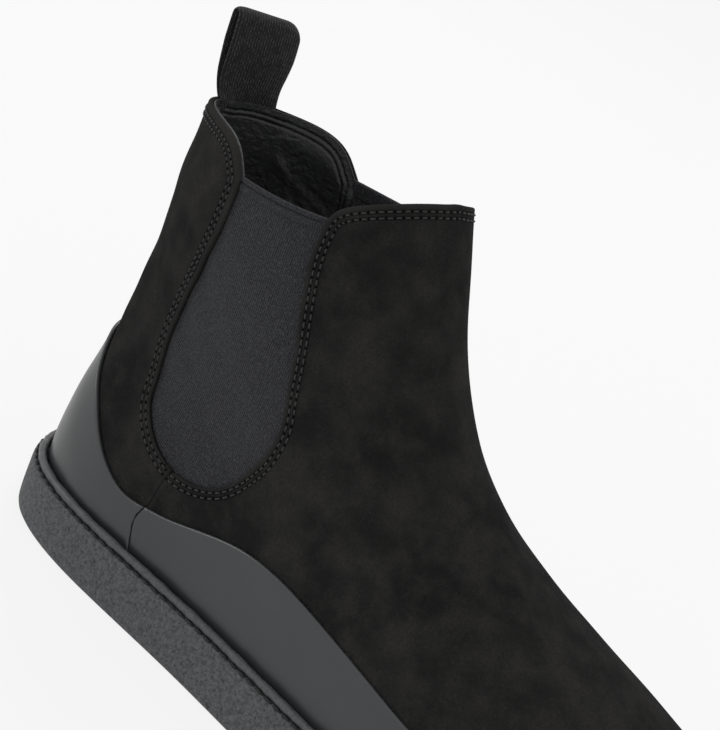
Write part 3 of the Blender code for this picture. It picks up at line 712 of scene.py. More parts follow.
def webbing_material():
    """Yarns 1 mm apart, crossed by a wave whose phase goes up and down with the width: chevrons."""
    material, tree, shader = new_material("webbing", (0.012, 0.012, 0.0125), 0.8, 0.25, 0.05, 0.5)
    across, along = uv_parts(tree)
    vector = object_coordinates(tree)
    grain = group_node(tree, GRAIN, vector=vector, fine_scale=1500.0, cloud_scale=60.0)
    wobble = link_math(tree, "MULTIPLY", grain["Height"], 0.9)
    zigzag = link_math(tree, "PINGPONG", link_math(tree, "MULTIPLY", across, 1.6), 3.3)
    slanted = link_math(tree, "ADD", link_math(tree, "ADD", along, wobble), zigzag)
    chevrons = ripple(tree, slanted, 1.9)
    yarns = ripple(tree, link_math(tree, "ADD", across, wobble), 1.0)
    weave = link_math(tree, "MULTIPLY", yarns, link_math(tree, "MULTIPLY_ADD", chevrons, 0.75, 0.25))
    lumps = spread(tree, link_noise(tree, vector, 420.0, 3.0, 0.6), 0.35, 0.68, 0.15, 1.5)
    weave = link_math(tree, "MULTIPLY", weave, lumps)
    shade = colour_mix(tree, weave, (0.0016, 0.0016, 0.0018), (0.042, 0.0425, 0.044))
    tree.links.new(shade, shader.inputs["Base Color"])
    tree.links.new(bump(tree, weave, 0.55, 1.0), shader.inputs["Normal"])
    return material


OVERLAY = overlay_material()
LINING = lining_material()
ELASTIC = elastic_material()
SOLE_RUBBER = rubber_material("sole_rubber", (0.034, 0.035, 0.037), (0.088, 0.090, 0.094), 0.72, 0.30)
BEAD_RUBBER = rubber_material("bead_rubber", (0.050, 0.0515, 0.054), (0.074, 0.0755, 0.079), 0.42, 0.06)
THREAD = fibre_material("thread", (0.022, 0.0215, 0.021))
SOLE_THREAD = fibre_material("sole_thread", (0.008, 0.008, 0.008))
WEBBING = webbing_material()
print("finishes:", len(bpy.data.materials))

# %% [markdown]
# ## The upper
# The nubuck is cut as two pieces: a quarter that wraps the heel, and a front that runs from the toe up
# over the instep to the collar. Between them on each side sits the elastic gore. The smooth overlays
# go round the heel and the toe on top of the nubuck, and meet at a seam below the gore.
# %% Helpers for pattern pieces
NUBUCK_THICKNESS = 1.5
HEEL_OVERLAY_THICKNESS = 1.4
HEEL_OVERLAY_RISE = 1.7
RAND_THICKNESS = 1.2
RAND_RISE = 1.35
EDGE_RADIUS = 0.65
ROW_GAP = 1.85


def rear_first_row(height):
    """The first row's distance from the quarter's edge (mm): close at the gore's foot, wider above."""
    return 1.15 + 1.45 * np.clip((height - 70) / 70, 0, 1)


def front_first_row(height):
    """The same for the front's edge (mm)."""
    return 1.25 + 0.95 * np.clip((height - 52) / 16, 0, 1)


def length_of(line):
    """The length in mm of a line of turn and height laid on the last."""
    points = on_last(line[:, 0], line[:, 1])
    return np.linalg.norm(np.diff(points, axis=0), axis=1).sum()


def cut_out(bottom, top, left, right, step):
    """A patch whose grid is about step mm, with fine lines beside all four edges."""
    across = graded((length_of(bottom) + length_of(top)) / 2, step)
    up = graded((length_of(left) + length_of(right)) / 2, step)
    return patch(bottom, top, left, right, across, up)


def unevenness(points, size):
    """Slow hills and hollows that no hand-lasted upper is free of: three crossed sine waves."""
    x, y, z = np.moveaxis(points, -1, 0)
    first = np.sin(0.21 * x + 0.13 * z + 0.4) * np.sin(0.17 * y - 0.19 * z + 1.1)
    second = np.sin(0.093 * x - 0.071 * y + 0.11 * z)
    third = np.sin(0.37 * z + 0.29 * x) * np.sin(0.31 * y + 0.9)
    return size * (0.5 * first + 0.35 * second + 0.15 * third)


def leather(name, places, thickness, material, top=0.0, stitched=None, first_row=None, size=0.25):
    """A leather piece: rounded at its raw edges, a little uneven, and mapped for stitching and the painted
    edge highlight.
    """
    flat = on_last(places[..., 0], places[..., 1])
    away, _ = distance_to(flat, even(border(flat), 700))
    outer = top + unevenness(flat, size)
    inner = outer - thickness
    outer = outer - np.minimum(quarter_round(away, EDGE_RADIUS), thickness - 0.1)
    facts = {"edge_distance": away}
    facts["stitch_distance"], facts["stitch_run"] = np.full(away.shape, 99.0), np.zeros(away.shape)
    if stitched is not None:
        to_edge, facts["stitch_run"] = distance_to(flat, on_last(stitched[:, 0], stitched[:, 1]))
        facts["stitch_distance"] = to_edge - first_row(places[..., 1])
    return shell(name, places, outer, inner, material, facts)


rear_side = np.vstack([side_seam, gore_rear])
front_side = np.vstack([side_seam, gore_front])
rear_foot = level_line(inner_side(rear_side, rear=True)[0, 0], rear_side[0, 0], FEATHER_HEIGHT)
front_foot = level_line(front_side[0, 0], inner_side(front_side, rear=False)[0, 0], FEATHER_HEIGHT)
rear_stitched = even(np.vstack([inner_side(gore_rear, rear=True), rear_rim[1:-1], gore_rear[::-1]]), 900)
inner_gore_front = inner_side(gore_front, rear=False)
front_stitched = even(np.vstack([gore_front, front_rim[1:-1], inner_gore_front[::-1]]), 900)
print("stitched edges:", round(length_of(rear_stitched)), "and", round(length_of(front_stitched)), "mm")

# %% [markdown]
# ### Quarter and front
# The front is one skin in life. It bends with the collar when a foot goes in.
# %% Quarter and front
quarter_places = cut_out(rear_foot, rear_rim, inner_side(rear_side, rear=True), rear_side, 1.5)
quarter = leather("quarter", quarter_places, NUBUCK_THICKNESS, NUBUCK,
                  stitched=rear_stitched, first_row=rear_first_row)
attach(quarter, "foot")
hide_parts("rear_quarter")

front_places = cut_out(front_foot, front_rim, front_side, inner_side(front_side, rear=False), 1.7)
front = leather("front", front_places, NUBUCK_THICKNESS, NUBUCK,
                stitched=front_stitched, first_row=front_first_row)
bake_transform(front)
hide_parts("vamp", "front_shaft")

# %% [markdown]
# ### Overlays
# Two bands of coated leather lie on the nubuck. Their tops are cut edges, rounded a little. They meet at
# the side seam, where two rounded edges side by side draw the dark line. The heel's edge was cut by
# hand and wavers a little, and its band stands slightly prouder.
# %% Overlays
hand_cut = 0.05 * np.sin(np.linspace(0, 30, 400))
heel_side = smooth_line(SIDE_SEAM) + np.column_stack([hand_cut, 0 * hand_cut])
heel_top = both_rear(smooth_line(HEEL_OVERLAY_TOP))
heel_foot = level_line(inner_side(heel_side, rear=True)[0, 0], heel_side[0, 0], FEATHER_HEIGHT)
heel_places = cut_out(heel_foot, heel_top, inner_side(heel_side, rear=True), heel_side, 1.6)
heel_overlay = leather("heel_overlay_leather", heel_places, HEEL_OVERLAY_THICKNESS, OVERLAY,
                       top=HEEL_OVERLAY_RISE, size=0.2)
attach(heel_overlay, "foot")
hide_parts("heel_overlay")

SEAM_GAP = 0.07
rand_side = smooth_line(SIDE_SEAM) + np.array([SEAM_GAP, 0])
rand_top = both_front(smooth_line(RAND_TOP))
rand_foot = level_line(rand_side[0, 0], inner_side(rand_side, rear=False)[0, 0], FEATHER_HEIGHT)
rand_places = cut_out(rand_foot, rand_top, rand_side, inner_side(rand_side, rear=False), 1.6)
front_rand = leather("front_rand_leather", rand_places, RAND_THICKNESS, OVERLAY, top=RAND_RISE, size=0.15)
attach(front_rand, "foot")
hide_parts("front_rand")

# %% [markdown]
# ## Gores
# A gore is a woven elastic let in between the two leathers. Its edges are caught under them, and its
# top is turned over to a rolled hem with a groove behind it. When the collar opens the gore stretches.
# %% Gores and their hems
GORE_TOP = -1.75
ELASTIC_THICKNESS = 1.0


def gore_places(mirror):
    """A grid over the gore that runs a few mm under the leather on both sides."""
    across = np.linspace(-0.10, 1.10, 60)[None, :, None]
    rows = even(gore_rear, 110)[:, None] * (1 - across) + even(gore_front, 110)[:, None] * across
    rows = rows + np.array([0, 1.0]) * -1.5 * np.linspace(1, 0, 110)[:, None, None]
    return np.stack([inner_side(row, rear=False)[::-1] for row in rows]) if mirror else rows


def map_in_mm(places):
    """Two directions in mm over a grid: across from its middle column, and up from its lowest row."""
    flat = on_last(places[..., 0], places[..., 1])
    side = np.cumsum(np.linalg.norm(np.diff(flat, axis=1, prepend=flat[:, :1]), axis=-1), 1)
    rise = np.cumsum(np.linalg.norm(np.diff(flat, axis=0, prepend=flat[:1]), axis=-1), 0)
    return np.stack([side - side[:, side.shape[1] // 2][:, None], rise], -1)


for side, mirror in (("outer", False), ("inner", True)):
    places = gore_places(mirror)
    swell = unevenness(on_last(places[..., 0], places[..., 1]), 0.5)
    outside = GORE_TOP + swell
    web = shell("gore_elastic_" + side, places, outside, outside - ELASTIC_THICKNESS, ELASTIC,
                uv=map_in_mm(places))
    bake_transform(web)
    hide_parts("gore_" + side)
print("gores done")


# Depth below the leather's face and height over the gore's top edge (mm), round the rolled hem.
HEM_SECTION = np.array([
    (-2.9, -4.0), (-2.95, -1.5), (-2.9, 0.3), (-2.6, 0.75), (-2.1, 0.95), (-1.6, 0.85), (-1.25, 0.5),
    (-1.1, 0.05), (-1.2, -0.4), (-1.6, -0.66), (-1.95, -0.74), (-1.6, -0.84), (-1.25, -1.1), (-1.12, -1.6),
    (-1.15, -2.2), (-1.3, -2.7), (-1.7, -3.1), (-2.4, -3.4),
])
HEM_STEPS = 90
HEM_SIDES = 48


def hem_loop(mirror):
    """The rolled hem: its section of depth and height is carried along the gore's top edge."""
    line = even(np.vstack([gore_rear[-1] + [-0.8, 0], gore_front[-1] + [0.8, 0]]), HEM_STEPS)
    line[:, 1] -= 0.5 * np.sin(np.linspace(0, math.pi, HEM_STEPS))
    if mirror:
        line = inner_side(line, rear=False)[::-1]
    section = even(np.vstack([HEM_SECTION, HEM_SECTION[:1]]), HEM_SIDES + 1)[:-1]
    deep = np.broadcast_to(section[:, 0], (HEM_STEPS, HEM_SIDES))
    turn = np.broadcast_to(line[:, :1], (HEM_STEPS, HEM_SIDES))
    points = on_last(turn, line[:, 1:] + section[None, :, 1], deep)
    run = np.linalg.norm(np.diff(points[:, 0], axis=0, prepend=points[:1, 0]), axis=1).cumsum()
    around = np.arange(HEM_SIDES) * 0.3
    return points, np.stack(np.broadcast_arrays(run[:, None], around[None]), -1)


def tube_faces(rings, sides):
    """Quads of a tube of rings, and quads that close its two ends."""
    start = np.arange(rings - 1)[:, None] * sides
    here = start + np.arange(sides)[None]
    along = start + (np.arange(sides)[None] + 1) % sides
    walls = np.stack([here, along, along + sides, here + sides], -1).reshape(-1, 4)
    fan = np.arange(sides // 2 - 1)
    pairs = np.stack([sides - 1 - fan, sides - 2 - fan, fan + 1, fan], -1)
    return np.vstack([walls, pairs, pairs[:, ::-1] + (rings - 1) * sides])


for side, mirror in (("outer", False), ("inner", True)):
    points, hem_map = hem_loop(mirror)
    hem_faces = tube_faces(HEM_STEPS, HEM_SIDES)
    hem = add_piece("gore_hem_" + side, points.reshape(-1, 3), hem_faces, ELASTIC, uv=hem_map)
    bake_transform(hem)
    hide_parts("gore_binding_" + side)

# %% [markdown]
# ## Linings
# Thin leather lines the boot. At the rim it is sewn to the nubuck, edge to edge. Lower down it stands
# off for the stiffener, and at the back it swells over the sewn-in ends of the pull loop.
# %% Linings
TAB_MIDDLE = -13.0
LINING_THICKNESS = 0.9
LINING_DEPTH = -3.1
RIM_DEPTH = -1.6
RELIEF_HALF_TURN = 24.5
RELIEF_FOOT = 115.5
# Direction (degrees below the rim's), reach (mm) and height (mm) of each wrinkle.
WRINKLES = ((18, 22, 0.5), (34, 30, 0.7), (49, 34, 0.6), (63, 38, 0.75), (76, 36, 0.55), (88, 30, 0.5))
WRINKLE_HEIGHT = 0.6
WRINKLE_WIDTH = 0.8


def tab_relief(turn, height):
    """How far the loop's sewn-in ends push the lining inwards (mm): a plateau with soft edges."""
    wide = np.clip((RELIEF_HALF_TURN - np.abs(turn - TAB_MIDDLE)) / 3.5, 0, 1)
    tall = np.clip((height - RELIEF_FOOT) / 4.0, 0, 1)
    return wide**2 * (3 - 2 * wide) * tall**2 * (3 - 2 * tall)


def wrinkles(turn, height):
    """Ridges (mm) that fan out of the relief's lower inner corner, where the lining is pulled.

    Each is exp(-(d / w)^2) of the distance d to a ray, rising and dying away along it.
    """
    across = (TAB_MIDDLE - 23 - turn) * 0.58
    down = 137 - height
    total = np.zeros(turn.shape)
    for angle, reach, size in WRINKLES:
        way = np.radians(angle)
        along = across * np.cos(way) + down * np.sin(way)
        aside = -across * np.sin(way) + down * np.cos(way) + 0.9 * np.sin(along / 4.5 + angle)
        fade = np.clip(along / 4, 0, 1) * np.clip((reach - along) / 12, 0, 1)
        total += WRINKLE_HEIGHT * size * fade * np.exp(-((aside / WRINKLE_WIDTH) ** 2))
    return total


def lining_depth(places, rim_height):
    """Edge to edge with the nubuck at the rim, deeper from 9 mm below it and over the loop's ends."""
    turn, height = places[..., 0], places[..., 1]
    below = np.clip((rim_height - height) / 9.0, 0, 1)
    base = RIM_DEPTH + (LINING_DEPTH - RIM_DEPTH) * below * below * (3 - 2 * below)
    turn = (turn + 180) % 360 - 180
    return np.minimum(base, RIM_DEPTH - 1.45 * tab_relief(turn, height)) - wrinkles(turn, height)


rear_lining_places = cut_out(rear_foot, rear_rim, inner_side(rear_side, rear=True), rear_side, 1.3)
rear_depth = lining_depth(rear_lining_places, rear_lining_places[-1:, :, 1])
rear_lining = leather("rear_lining_leather", rear_lining_places, LINING_THICKNESS, LINING, top=rear_depth,
                      stitched=rear_stitched, first_row=rear_first_row, size=0.35)
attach(rear_lining, "foot")
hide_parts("rear_lining")

front_lining_places = cut_out(front_foot, front_rim, front_side, inner_side(front_side, rear=False), 2.2)
front_depth = lining_depth(front_lining_places, front_lining_places[-1:, :, 1])
front_lining = leather("front_lining_leather", front_lining_places, LINING_THICKNESS, LINING, top=front_depth,
                       stitched=front_stitched, first_row=front_first_row, size=0.2)
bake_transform(front_lining)
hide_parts("vamp_lining", "front_shaft_lining")

# %% [markdown]
# ## Stitching
# A lockstitch shows as short bows of thread: each comes up through a hole, lies on the leather and goes
# down through the next. A bow is a small closed tube, and one row is many bows at a steady pitch.
# %% Stitches
STITCH_PITCH = 2.6
THREAD_RADIUS = 0.34
THREAD_RISE = 0.06
THREAD_SINK = 0.36


def inset(line, distance):
    """A line of turn and height moved sideways over the last by a distance (mm), left of its run."""
    turn, height = line.T
    place = on_last(turn, height)
    basis = np.stack([on_last(turn + 1, height) - place, on_last(turn, height + 1) - place], -1)
    outward = on_last(turn, height, np.ones(len(turn))) - place
    side = np.cross(outward, np.gradient(place, axis=0))
    side *= distance / np.linalg.norm(side, axis=-1, keepdims=True)
    return line + (np.linalg.pinv(basis) @ side[..., None])[..., 0]


def repeated(faces, count, size):
    """The faces of one small mesh, given again for count copies of size points each."""
    return (faces[None] + (np.arange(count) * size)[:, None, None]).reshape(-1, 4)


def bows(points, outward, run, pitch, radius, rise, sink, sides=6, rings=5, filled=0.8):
    """Thread bows between holes at every pitch along a row: points, quads, and the bows' middles.

    A bow's height over the leather is (rise + sink) sin(pi share)^0.6 - sink along its length.
    """
    count = int((run[-1] - 1) / pitch)
    share = np.linspace(0, 1, rings)
    at = (np.arange(count)[:, None] + (1 - filled) / 2 + share[None] * filled) * pitch
    centre = np.stack([np.interp(at, run, points[:, k]) for k in range(3)], -1)
    normal = np.stack([np.interp(at, run, outward[:, k]) for k in range(3)], -1)
    normal /= np.linalg.norm(normal, axis=-1, keepdims=True)
    tangent = np.gradient(centre, axis=1)
    tangent /= np.linalg.norm(tangent, axis=-1, keepdims=True)
    aside = np.cross(tangent, normal)
    lift = (rise + sink) * np.sin(math.pi * share) ** 0.6 - sink
    centre = centre + lift[None, :, None] * normal
    angle = np.arange(sides) * 2 * math.pi / sides
    thick = radius * (0.55 + 0.45 * np.sin(math.pi * share))[None, :, None, None]
    cosine, sine = (wave(angle)[None, None, :, None] for wave in (np.cos, np.sin))
    ring = cosine * normal[:, :, None] + sine * aside[:, :, None]
    tubes = centre[:, :, None] + thick * ring
    quads = repeated(tube_faces(rings, sides), count, rings * sides)
    return tubes, quads, centre[:, rings // 2]


def stitched_rows(edge, first_row, top):
    """Two rows of bows beside an edge of turn and height, leaving out those past a sharp corner."""
    line3 = on_last(edge[:, 0], edge[:, 1])
    run = np.concatenate([[0], np.cumsum(np.linalg.norm(np.diff(line3, axis=0), axis=1))])
    all_points, all_quads, first = [], [], 0
    for gap in (0, ROW_GAP):
        row = inset(edge, -(first_row(edge[:, 1]) + gap)[:, None])
        least = float(first_row(edge[:, 1]).min()) + gap
        points = on_last(row[:, 0], row[:, 1], np.full(len(row), top))
        outward = on_last(row[:, 0], row[:, 1], np.full(len(row), top + 1.0)) - points
        tubes, quads, middle = bows(points, outward, run, pitch=STITCH_PITCH, radius=THREAD_RADIUS,
                                    rise=THREAD_RISE, sink=THREAD_SINK)
        wanted = np.maximum(first_row(middle[:, 2]) + gap, least) - 0.3
        keep = distance_to(middle, line3)[0] > wanted
        size = tubes.shape[1] * tubes.shape[2]
        single = quads[: len(quads) // len(tubes)]
        tubes = tubes[keep]
        all_points.append(tubes.reshape(-1, 3))
        all_quads.append(repeated(single, len(tubes), size) + first)
        first += len(tubes) * size
    return np.concatenate(all_points), np.concatenate(all_quads)


rear_rows = stitched_rows(rear_stitched, rear_first_row, 0.05)
quarter_threads = add_piece("quarter_threads", *rear_rows, THREAD)
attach(quarter_threads, "foot")
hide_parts("quarter_stitching")

front_rows = stitched_rows(front_stitched, front_first_row, 0.05)
front_threads = add_piece("front_threads", *front_rows, THREAD)
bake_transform(front_threads)
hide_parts("shaft_stitching", "vamp_stitching_outer", "vamp_stitching_inner")

# %% [markdown]
# ## Sole
# The outsole is moulded rubber with a wall that flares to the ground and a rounded lower edge. A bead
# of smoother rubber runs round the upper above it, and thread sits in the groove between the two.
# Underneath, a flat rim frames a shallow recess with plain cross bars.
# %% Outsole
# Offset from the wall's widest line and height (mm), from the recess over the ground to the top.
SOLE_PROFILE = [
    (-14.0, 1.5), (-13.7, 1.5), (-13.3, 0.12), (-13.0, 0.0), (-7.0, 0.0), (-1.9, 0.0), (-1.25, 0.1),
    (-0.75, 0.35), (-0.35, 0.8), (-0.1, 1.5), (0.0, 2.6), (0.0, 4.5), (-0.08, 6.5), (-0.2, 8.5),
    (-0.36, 10.5), (-0.52, 12.5), (-0.66, 14.3), (-0.76, 15.5), (-0.9, 16.2), (-1.2, 16.6),
    (-1.7, 16.75), (-2.6, 16.8), (-4.2, 16.8), (-4.6, 16.4), (-11.0, 16.4),
]
BAR_SECTION = np.array([(-3.2, 2.0), (-3.2, 0.25), (-2.9, 0.0), (2.9, 0.0), (3.2, 0.25), (3.2, 2.0)])
BAR_STEP = 9.5
BAR_RINGS = 25
WAIST = (118, 134)
AROUND = 720


def outsole_mesh():
    """Rings of the sole's outline at the offsets and heights of its profile, closed by flat caps.

    The wall flares a little less round the heel, by cos(turn / 2) to a high power, and more beside it.
    """
    turn = np.arange(AROUND) * 360 / AROUND
    heel = np.abs(np.cos(np.radians(turn / 2)))
    flare = 2.6 * (heel**3 - heel**30) - 3.0 * heel**30
    rings = []
    for offset, height in SOLE_PROFILE:
        low = np.clip(1 - height / 15.0, 0, 1)
        ring = sole_outline(turn, SOLE_FLARE + offset + flare * low)
        rings.append(np.column_stack([ring, np.full(AROUND, height)]))
    points = np.concatenate(rings)
    quads = tube_faces(len(rings), AROUND)
    walls = quads[: (len(rings) - 1) * AROUND]
    half = np.arange(AROUND // 2 - 1)
    cap = np.stack([half, half + 1, AROUND - 2 - half, AROUND - 1 - half], -1)
    return points, np.vstack([walls, cap[:, ::-1], cap + (len(rings) - 1) * AROUND])


def cross_bars():
    """Plain tread bars, each a rounded box bent a little towards the toe, set into the recess."""
    turn = np.linspace(0, 180, 361)
    outer = sole_outline(turn, SOLE_FLARE - 15.5)
    inner = sole_outline(360 - turn, SOLE_FLARE - 15.5)
    points, quads = [], []
    sides_of_bar = len(BAR_SECTION)
    for x in np.arange(12.0, 272.0, BAR_STEP):
        sides = [np.interp(x, *line[np.argsort(line[:, 0])].T) for line in (outer, inner)]
        if sides[1] - sides[0] < 12 or WAIST[0] < x < WAIST[1]:
            continue
        y = np.linspace(*sides, BAR_RINGS)
        bend = 3.0 * np.cos((y - y.mean()) / (sides[1] - sides[0]) * math.pi)
        along = x + bend[:, None] + BAR_SECTION[:, 0]
        aside = np.repeat(y[:, None], sides_of_bar, 1)
        level = np.repeat(BAR_SECTION[None, :, 1], BAR_RINGS, 0)
        quads.append(tube_faces(BAR_RINGS, sides_of_bar)[:, ::-1] + len(points) * BAR_RINGS * sides_of_bar)
        points.append(np.stack([along, aside, level], -1).reshape(-1, 3))
    return np.concatenate(points), np.concatenate(quads)


sole_points, sole_quads = outsole_mesh()
bar_points, bar_quads = cross_bars()
outsole = add_piece("rubber_outsole", np.vstack([sole_points, bar_points]),
                    np.vstack([sole_quads, bar_quads + len(sole_points)]), SOLE_RUBBER)
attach(outsole, "foot")
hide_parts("outsole")


def ring_tube(path, radius, sides):
    """A closed round cord along a ring of points: its section turns in the upright plane."""
    step = np.roll(path, -1, 0) - np.roll(path, 1, 0)
    out = np.stack([step[:, 1], -step[:, 0], step[:, 0] * 0], -1)
    out /= np.linalg.norm(out, axis=1, keepdims=True)
    angle = np.arange(sides) * 2 * math.pi / sides
    section = out[:, None] * np.cos(angle)[None, :, None]
    section = section + np.array([0, 0, 1.0]) * np.sin(angle)[None, :, None]
    points = path[:, None] + radius[:, None, None] * section
    index = np.arange(len(path) * sides).reshape(len(path), sides)
    after = np.roll(index, -1, 0)
    quads = np.stack([index, after, np.roll(after, -1, 1), np.roll(index, -1, 1)], -1).reshape(-1, 4)
    return points.reshape(-1, 3), quads


BEAD_OFFSET = 3.7
BEAD_HEIGHT = 18.35
BEAD_STEPS = 900
BEAD_RADIUS = 1.42
# Size (mm), count round the boot and start of the waves that make the bead a little uneven.
BEAD_WAVES = ((0.07, 37, 0), (0.06, 61, 1), (0.05, 103, 0))
bead_turn = np.arange(BEAD_STEPS) * 360 / BEAD_STEPS
bead_path = np.column_stack([sole_outline(bead_turn, BEAD_OFFSET), np.full(BEAD_STEPS, BEAD_HEIGHT)])
bead_waves = [size * np.sin(np.radians(bead_turn) * count + start) for size, count, start in BEAD_WAVES]
bead_radius = BEAD_RADIUS + sum(bead_waves)
bead = add_piece("welt_bead_rubber", *ring_tube(bead_path, bead_radius, 20), BEAD_RUBBER)
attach(bead, "foot")
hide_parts("welt_bead")

GROOVE_OFFSET = 5.4
GROOVE_HEIGHT = 16.95
GROOVE_STEPS = 1801
groove_line = sole_outline(np.linspace(0, 360, GROOVE_STEPS), GROOVE_OFFSET)
groove_path = np.column_stack([groove_line, np.full(GROOVE_STEPS, GROOVE_HEIGHT)])
groove_run = np.concatenate([[0], np.cumsum(np.linalg.norm(np.diff(groove_path, axis=0), axis=1))])
step = np.gradient(groove_path, axis=0)
groove_out = np.stack([step[:, 1], -step[:, 0], step[:, 0] * 0], -1) + np.array([0, 0, 0.6])
groove_tubes, groove_quads, _ = bows(groove_path, groove_out, groove_run, pitch=4.2, radius=0.5, rise=0.15,
                                     sink=0.45, filled=0.85)
sole_threads = add_piece("sole_threads", groove_tubes.reshape(-1, 3), groove_quads, SOLE_THREAD)
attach(sole_threads, "foot")
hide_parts("sole_stitching")

# %% [markdown]
# ## Pull loop
# A woven tape is folded double, and its ends are sewn in between the quarter and the lining. It leans
# back a little, its legs almost touch at the rim, and the fold at the top stays open.
# %% Webbing loop
TAB_BASE = -6.8
TAB_HALF_WIDTH = 12.3
TAB_HEIGHT = 28.2
TAB_THICKNESS = 1.3
TAB_SEAM_HEIGHT = 149.0
TAB_SEAM_DEPTH = -2.4
TAB_BEND = 2.4
TAB_LEGS_APART = 0.68
TAB_LEAN = 6.0
TAB_TURNS = (17.0, 29.0)
TAB_HUG = 0.021


def webbing_loop():
    """A rounded flat section carried up the outer leg, over the fold and down the inner leg.

    The legs lean back by (z / height)^1.3, and the whole turns more on its way up. At the foot the
    ends come forwards by hug * width^2, so that the tape follows the curve of the seam it is sewn to.
    """
    base = on_last(np.array([TAB_BASE]), np.array([TAB_SEAM_HEIGHT]), np.array([TAB_SEAM_DEPTH]))[0]
    straight = TAB_HEIGHT - TAB_BEND - TAB_THICKNESS / 2
    rise = np.linspace(-5, straight, 40)
    apart = TAB_LEGS_APART + (TAB_BEND - TAB_LEGS_APART) * np.clip(rise / 17, 0, 1) ** 1.2
    arc = np.linspace(0, math.pi, 17)[1:-1]
    x = np.concatenate([-apart, -TAB_BEND * np.cos(arc), apart[::-1]])
    z = np.concatenate([rise, straight + TAB_BEND * np.sin(arc), rise[::-1]])
    lean = -TAB_LEAN * np.clip(z / TAB_HEIGHT, 0, 2) ** 1.3
    width = np.linspace(-1, 1, 41)
    far_corner = 2.6 * np.clip((width - 0.5) / 0.5, 0, 1) ** 2.5
    near_corner = 0.5 * np.clip((-width - 0.7) / 0.3, 0, 1) ** 2
    droop = far_corner + near_corner
    path = np.stack([x + lean, z], -1)
    tangent = np.gradient(path, axis=0)
    tangent /= np.linalg.norm(tangent, axis=1, keepdims=True)
    normal = np.stack([-tangent[:, 1], tangent[:, 0]], -1)
    half = np.maximum(TAB_THICKNESS / 2 * (1 - np.abs(width) ** 14) ** 0.5, 0.12)
    ring_width = np.concatenate([width, width[::-1]]) * TAB_HALF_WIDTH
    ring_half = np.concatenate([half, -half])
    flat = path[:, None] + normal[:, None] * ring_half[None, :, None]
    share = np.clip(z / TAB_HEIGHT, 0, 1)[:, None]
    drop = np.concatenate([droop, droop[::-1]])[None] * share**3
    buckle = 0.5 * np.sin(ring_width / TAB_HALF_WIDTH * 2.2 + 0.8) * np.sin(share * math.pi)
    low_turn, high_turn = TAB_TURNS
    turned = -np.radians(low_turn + (high_turn - low_turn) * share**0.6)
    hug = TAB_HUG * ring_width**2 * np.clip(1 - z / 9, 0, 1)[:, None] ** 2
    ahead = flat[..., 0] + buckle + hug
    far_half = np.clip(ring_width / TAB_HALF_WIDTH, 0, 1)
    wide = ring_width - 0.9 * far_half * (1 - np.sin(share * 2.6))
    points = base + np.stack(
        [
            np.cos(turned) * ahead - np.sin(turned) * wide,
            np.sin(turned) * ahead + np.cos(turned) * wide,
            flat[..., 1] - drop,
        ],
        -1,
    )
    run = np.concatenate([[0], np.cumsum(np.linalg.norm(np.diff(path, axis=0), axis=1))])
    mapping = np.stack(np.broadcast_arrays(ring_width[None], run[:, None]), -1)
    return points, mapping


loop_points, loop_map = webbing_loop()
loop_faces = tube_faces(*loop_points.shape[:2])[:, ::-1]
loop = add_piece("webbing_loop", loop_points.reshape(-1, 3), loop_faces, WEBBING, uv=loop_map)
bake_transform(loop)
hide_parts("pull_tab")

# %% [markdown]
# ## Hidden parts
# The board, the counter, the toe puff and the sewn-in ends keep their plain shapes and only get a
# finish of their own. The footbed is seen through the collar, so it is painted darker, as painted shade of
# the inside, and it is softer.
# %% Finishes of the hidden parts
HIDDEN = {
    "insole_board": fibre_material("board", (0.20, 0.16, 0.11)),
    # Painted shade: the footbed is given a near black colour for the shade inside the boot.
    "footbed": fibre_material("footbed_cloth", (0.012, 0.012, 0.013)),
    "heel_counter": fibre_material("counter_board", (0.30, 0.28, 0.24)),
    "toe_puff": fibre_material("puff_board", (0.30, 0.28, 0.24)),
    "pull_tab_anchor": WEBBING,
}
for node, material in HIDDEN.items():
    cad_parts[node].data.materials.clear()
    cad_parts[node].data.materials.append(material)
print("hidden parts:", ", ".join(HIDDEN))

# %% [markdown]
# ## Floor, light and camera
# A pale floor meets a pale world so that no horizon shows. One large soft light from above and behind
# draws the rims, one from the left gives the soft streak on the heel, and the world fills the rest.
# %% Floor, light and camera
def soft_light(name, place, target, size, power):
    """An area light of a size in metres, looking at a target."""
    data = bpy.data.lights.new(name, "AREA")
    data.shape = "DISK"
    data.size = size
    data.energy = power
    light = bpy.data.objects.new(name, data)
    bpy.context.scene.collection.objects.link(light)
    direction = np.array(target) - np.array(place)
    back = -direction / np.linalg.norm(direction)
    right = np.cross([0, 0, 1.0], back)
    right /= np.linalg.norm(right)
    columns = np.column_stack([right, np.cross(back, right), back])
    place_object(light, columns, place)


def place_object(item, columns, place):
    """Set an object's turn from three unit columns, and its place."""
    matrix = np.eye(4)
    matrix[:3, :3] = columns
    matrix[:3, 3] = place
    item.matrix_world = Matrix(matrix.tolist())


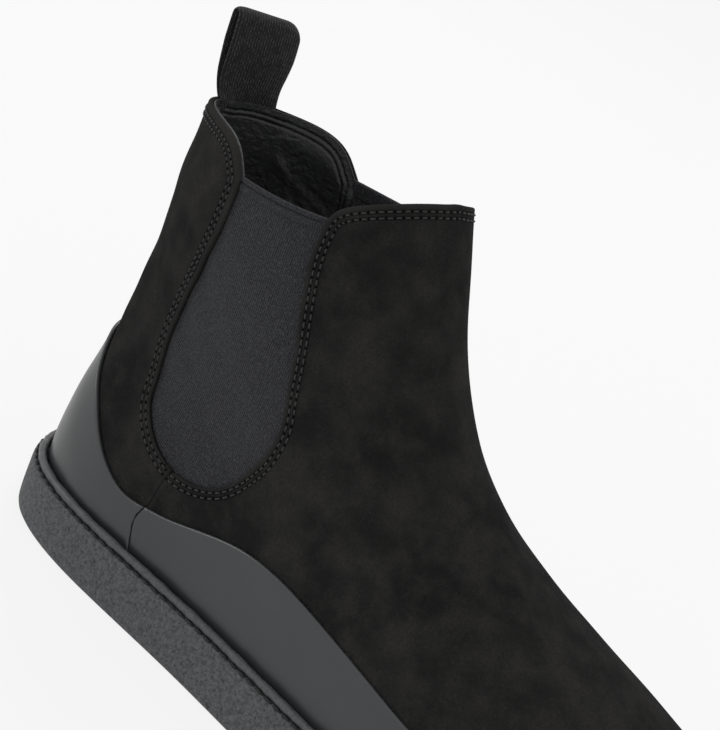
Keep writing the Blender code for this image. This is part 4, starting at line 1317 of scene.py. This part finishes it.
floor_mesh = bpy.data.meshes.new("floor")
floor_mesh.from_pydata([(-9, -9, 0), (9, -9, 0), (9, 9, 0), (-9, 9, 0)], [], [(0, 1, 2, 3)])
floor = bpy.data.objects.new("floor", floor_mesh)
bpy.context.scene.collection.objects.link(floor)
floor_paint, _, floor_shader = new_material("floor_paint", (0.10, 0.10, 0.10), 1.0, 0.0)
floor_shader.inputs["Emission Color"].default_value = (1, 1, 1, 1)
floor_shader.inputs["Emission Strength"].default_value = 0.83
floor_mesh.materials.append(floor_paint)

world = bpy.data.worlds.new("studio")
world.use_nodes = True
world.node_tree.nodes["Background"].inputs["Color"].default_value = (1, 1, 1, 1)
world.node_tree.nodes["Background"].inputs["Strength"].default_value = 0.89
bpy.context.scene.world = world

soft_light("left_window", (-1.3, -0.42, 0.55), (-0.10, 0, 0.05), 0.30, 3.6)
soft_light("top_back", (-0.5, 0.9, 1.3), (-0.05, 0, 0.08), 0.9, 6.0)

VIEW_AZIMUTH = math.radians(24.39)
VIEW_ELEVATION = math.radians(19.95)
VIEW_ROLL = math.radians(-26.72)
VIEW_DISTANCE = 0.676
VIEW_TARGET = in_metres((85.2, 11.2, 97.6))


def main_camera():
    """The camera, from an azimuth, an elevation, a roll and a distance to a point of the boot."""
    back = np.array([
        math.sin(VIEW_AZIMUTH) * math.cos(VIEW_ELEVATION),
        -math.cos(VIEW_AZIMUTH) * math.cos(VIEW_ELEVATION),
        math.sin(VIEW_ELEVATION),
    ])
    right = np.array([math.cos(VIEW_AZIMUTH), math.sin(VIEW_AZIMUTH), 0])
    up = np.cross(back, right)
    rolled_right = right * math.cos(VIEW_ROLL) - up * math.sin(VIEW_ROLL)
    rolled_up = right * math.sin(VIEW_ROLL) + up * math.cos(VIEW_ROLL)
    data = bpy.data.cameras.new("camera")
    data.lens = 105.0
    data.sensor_width = 36.0
    camera = bpy.data.objects.new("camera", data)
    bpy.context.scene.collection.objects.link(camera)
    columns = np.column_stack([rolled_right, rolled_up, back])
    place_object(camera, columns, VIEW_TARGET + back * VIEW_DISTANCE)
    bpy.context.scene.camera = camera


main_camera()
bpy.context.scene.view_settings.view_transform = "Standard"
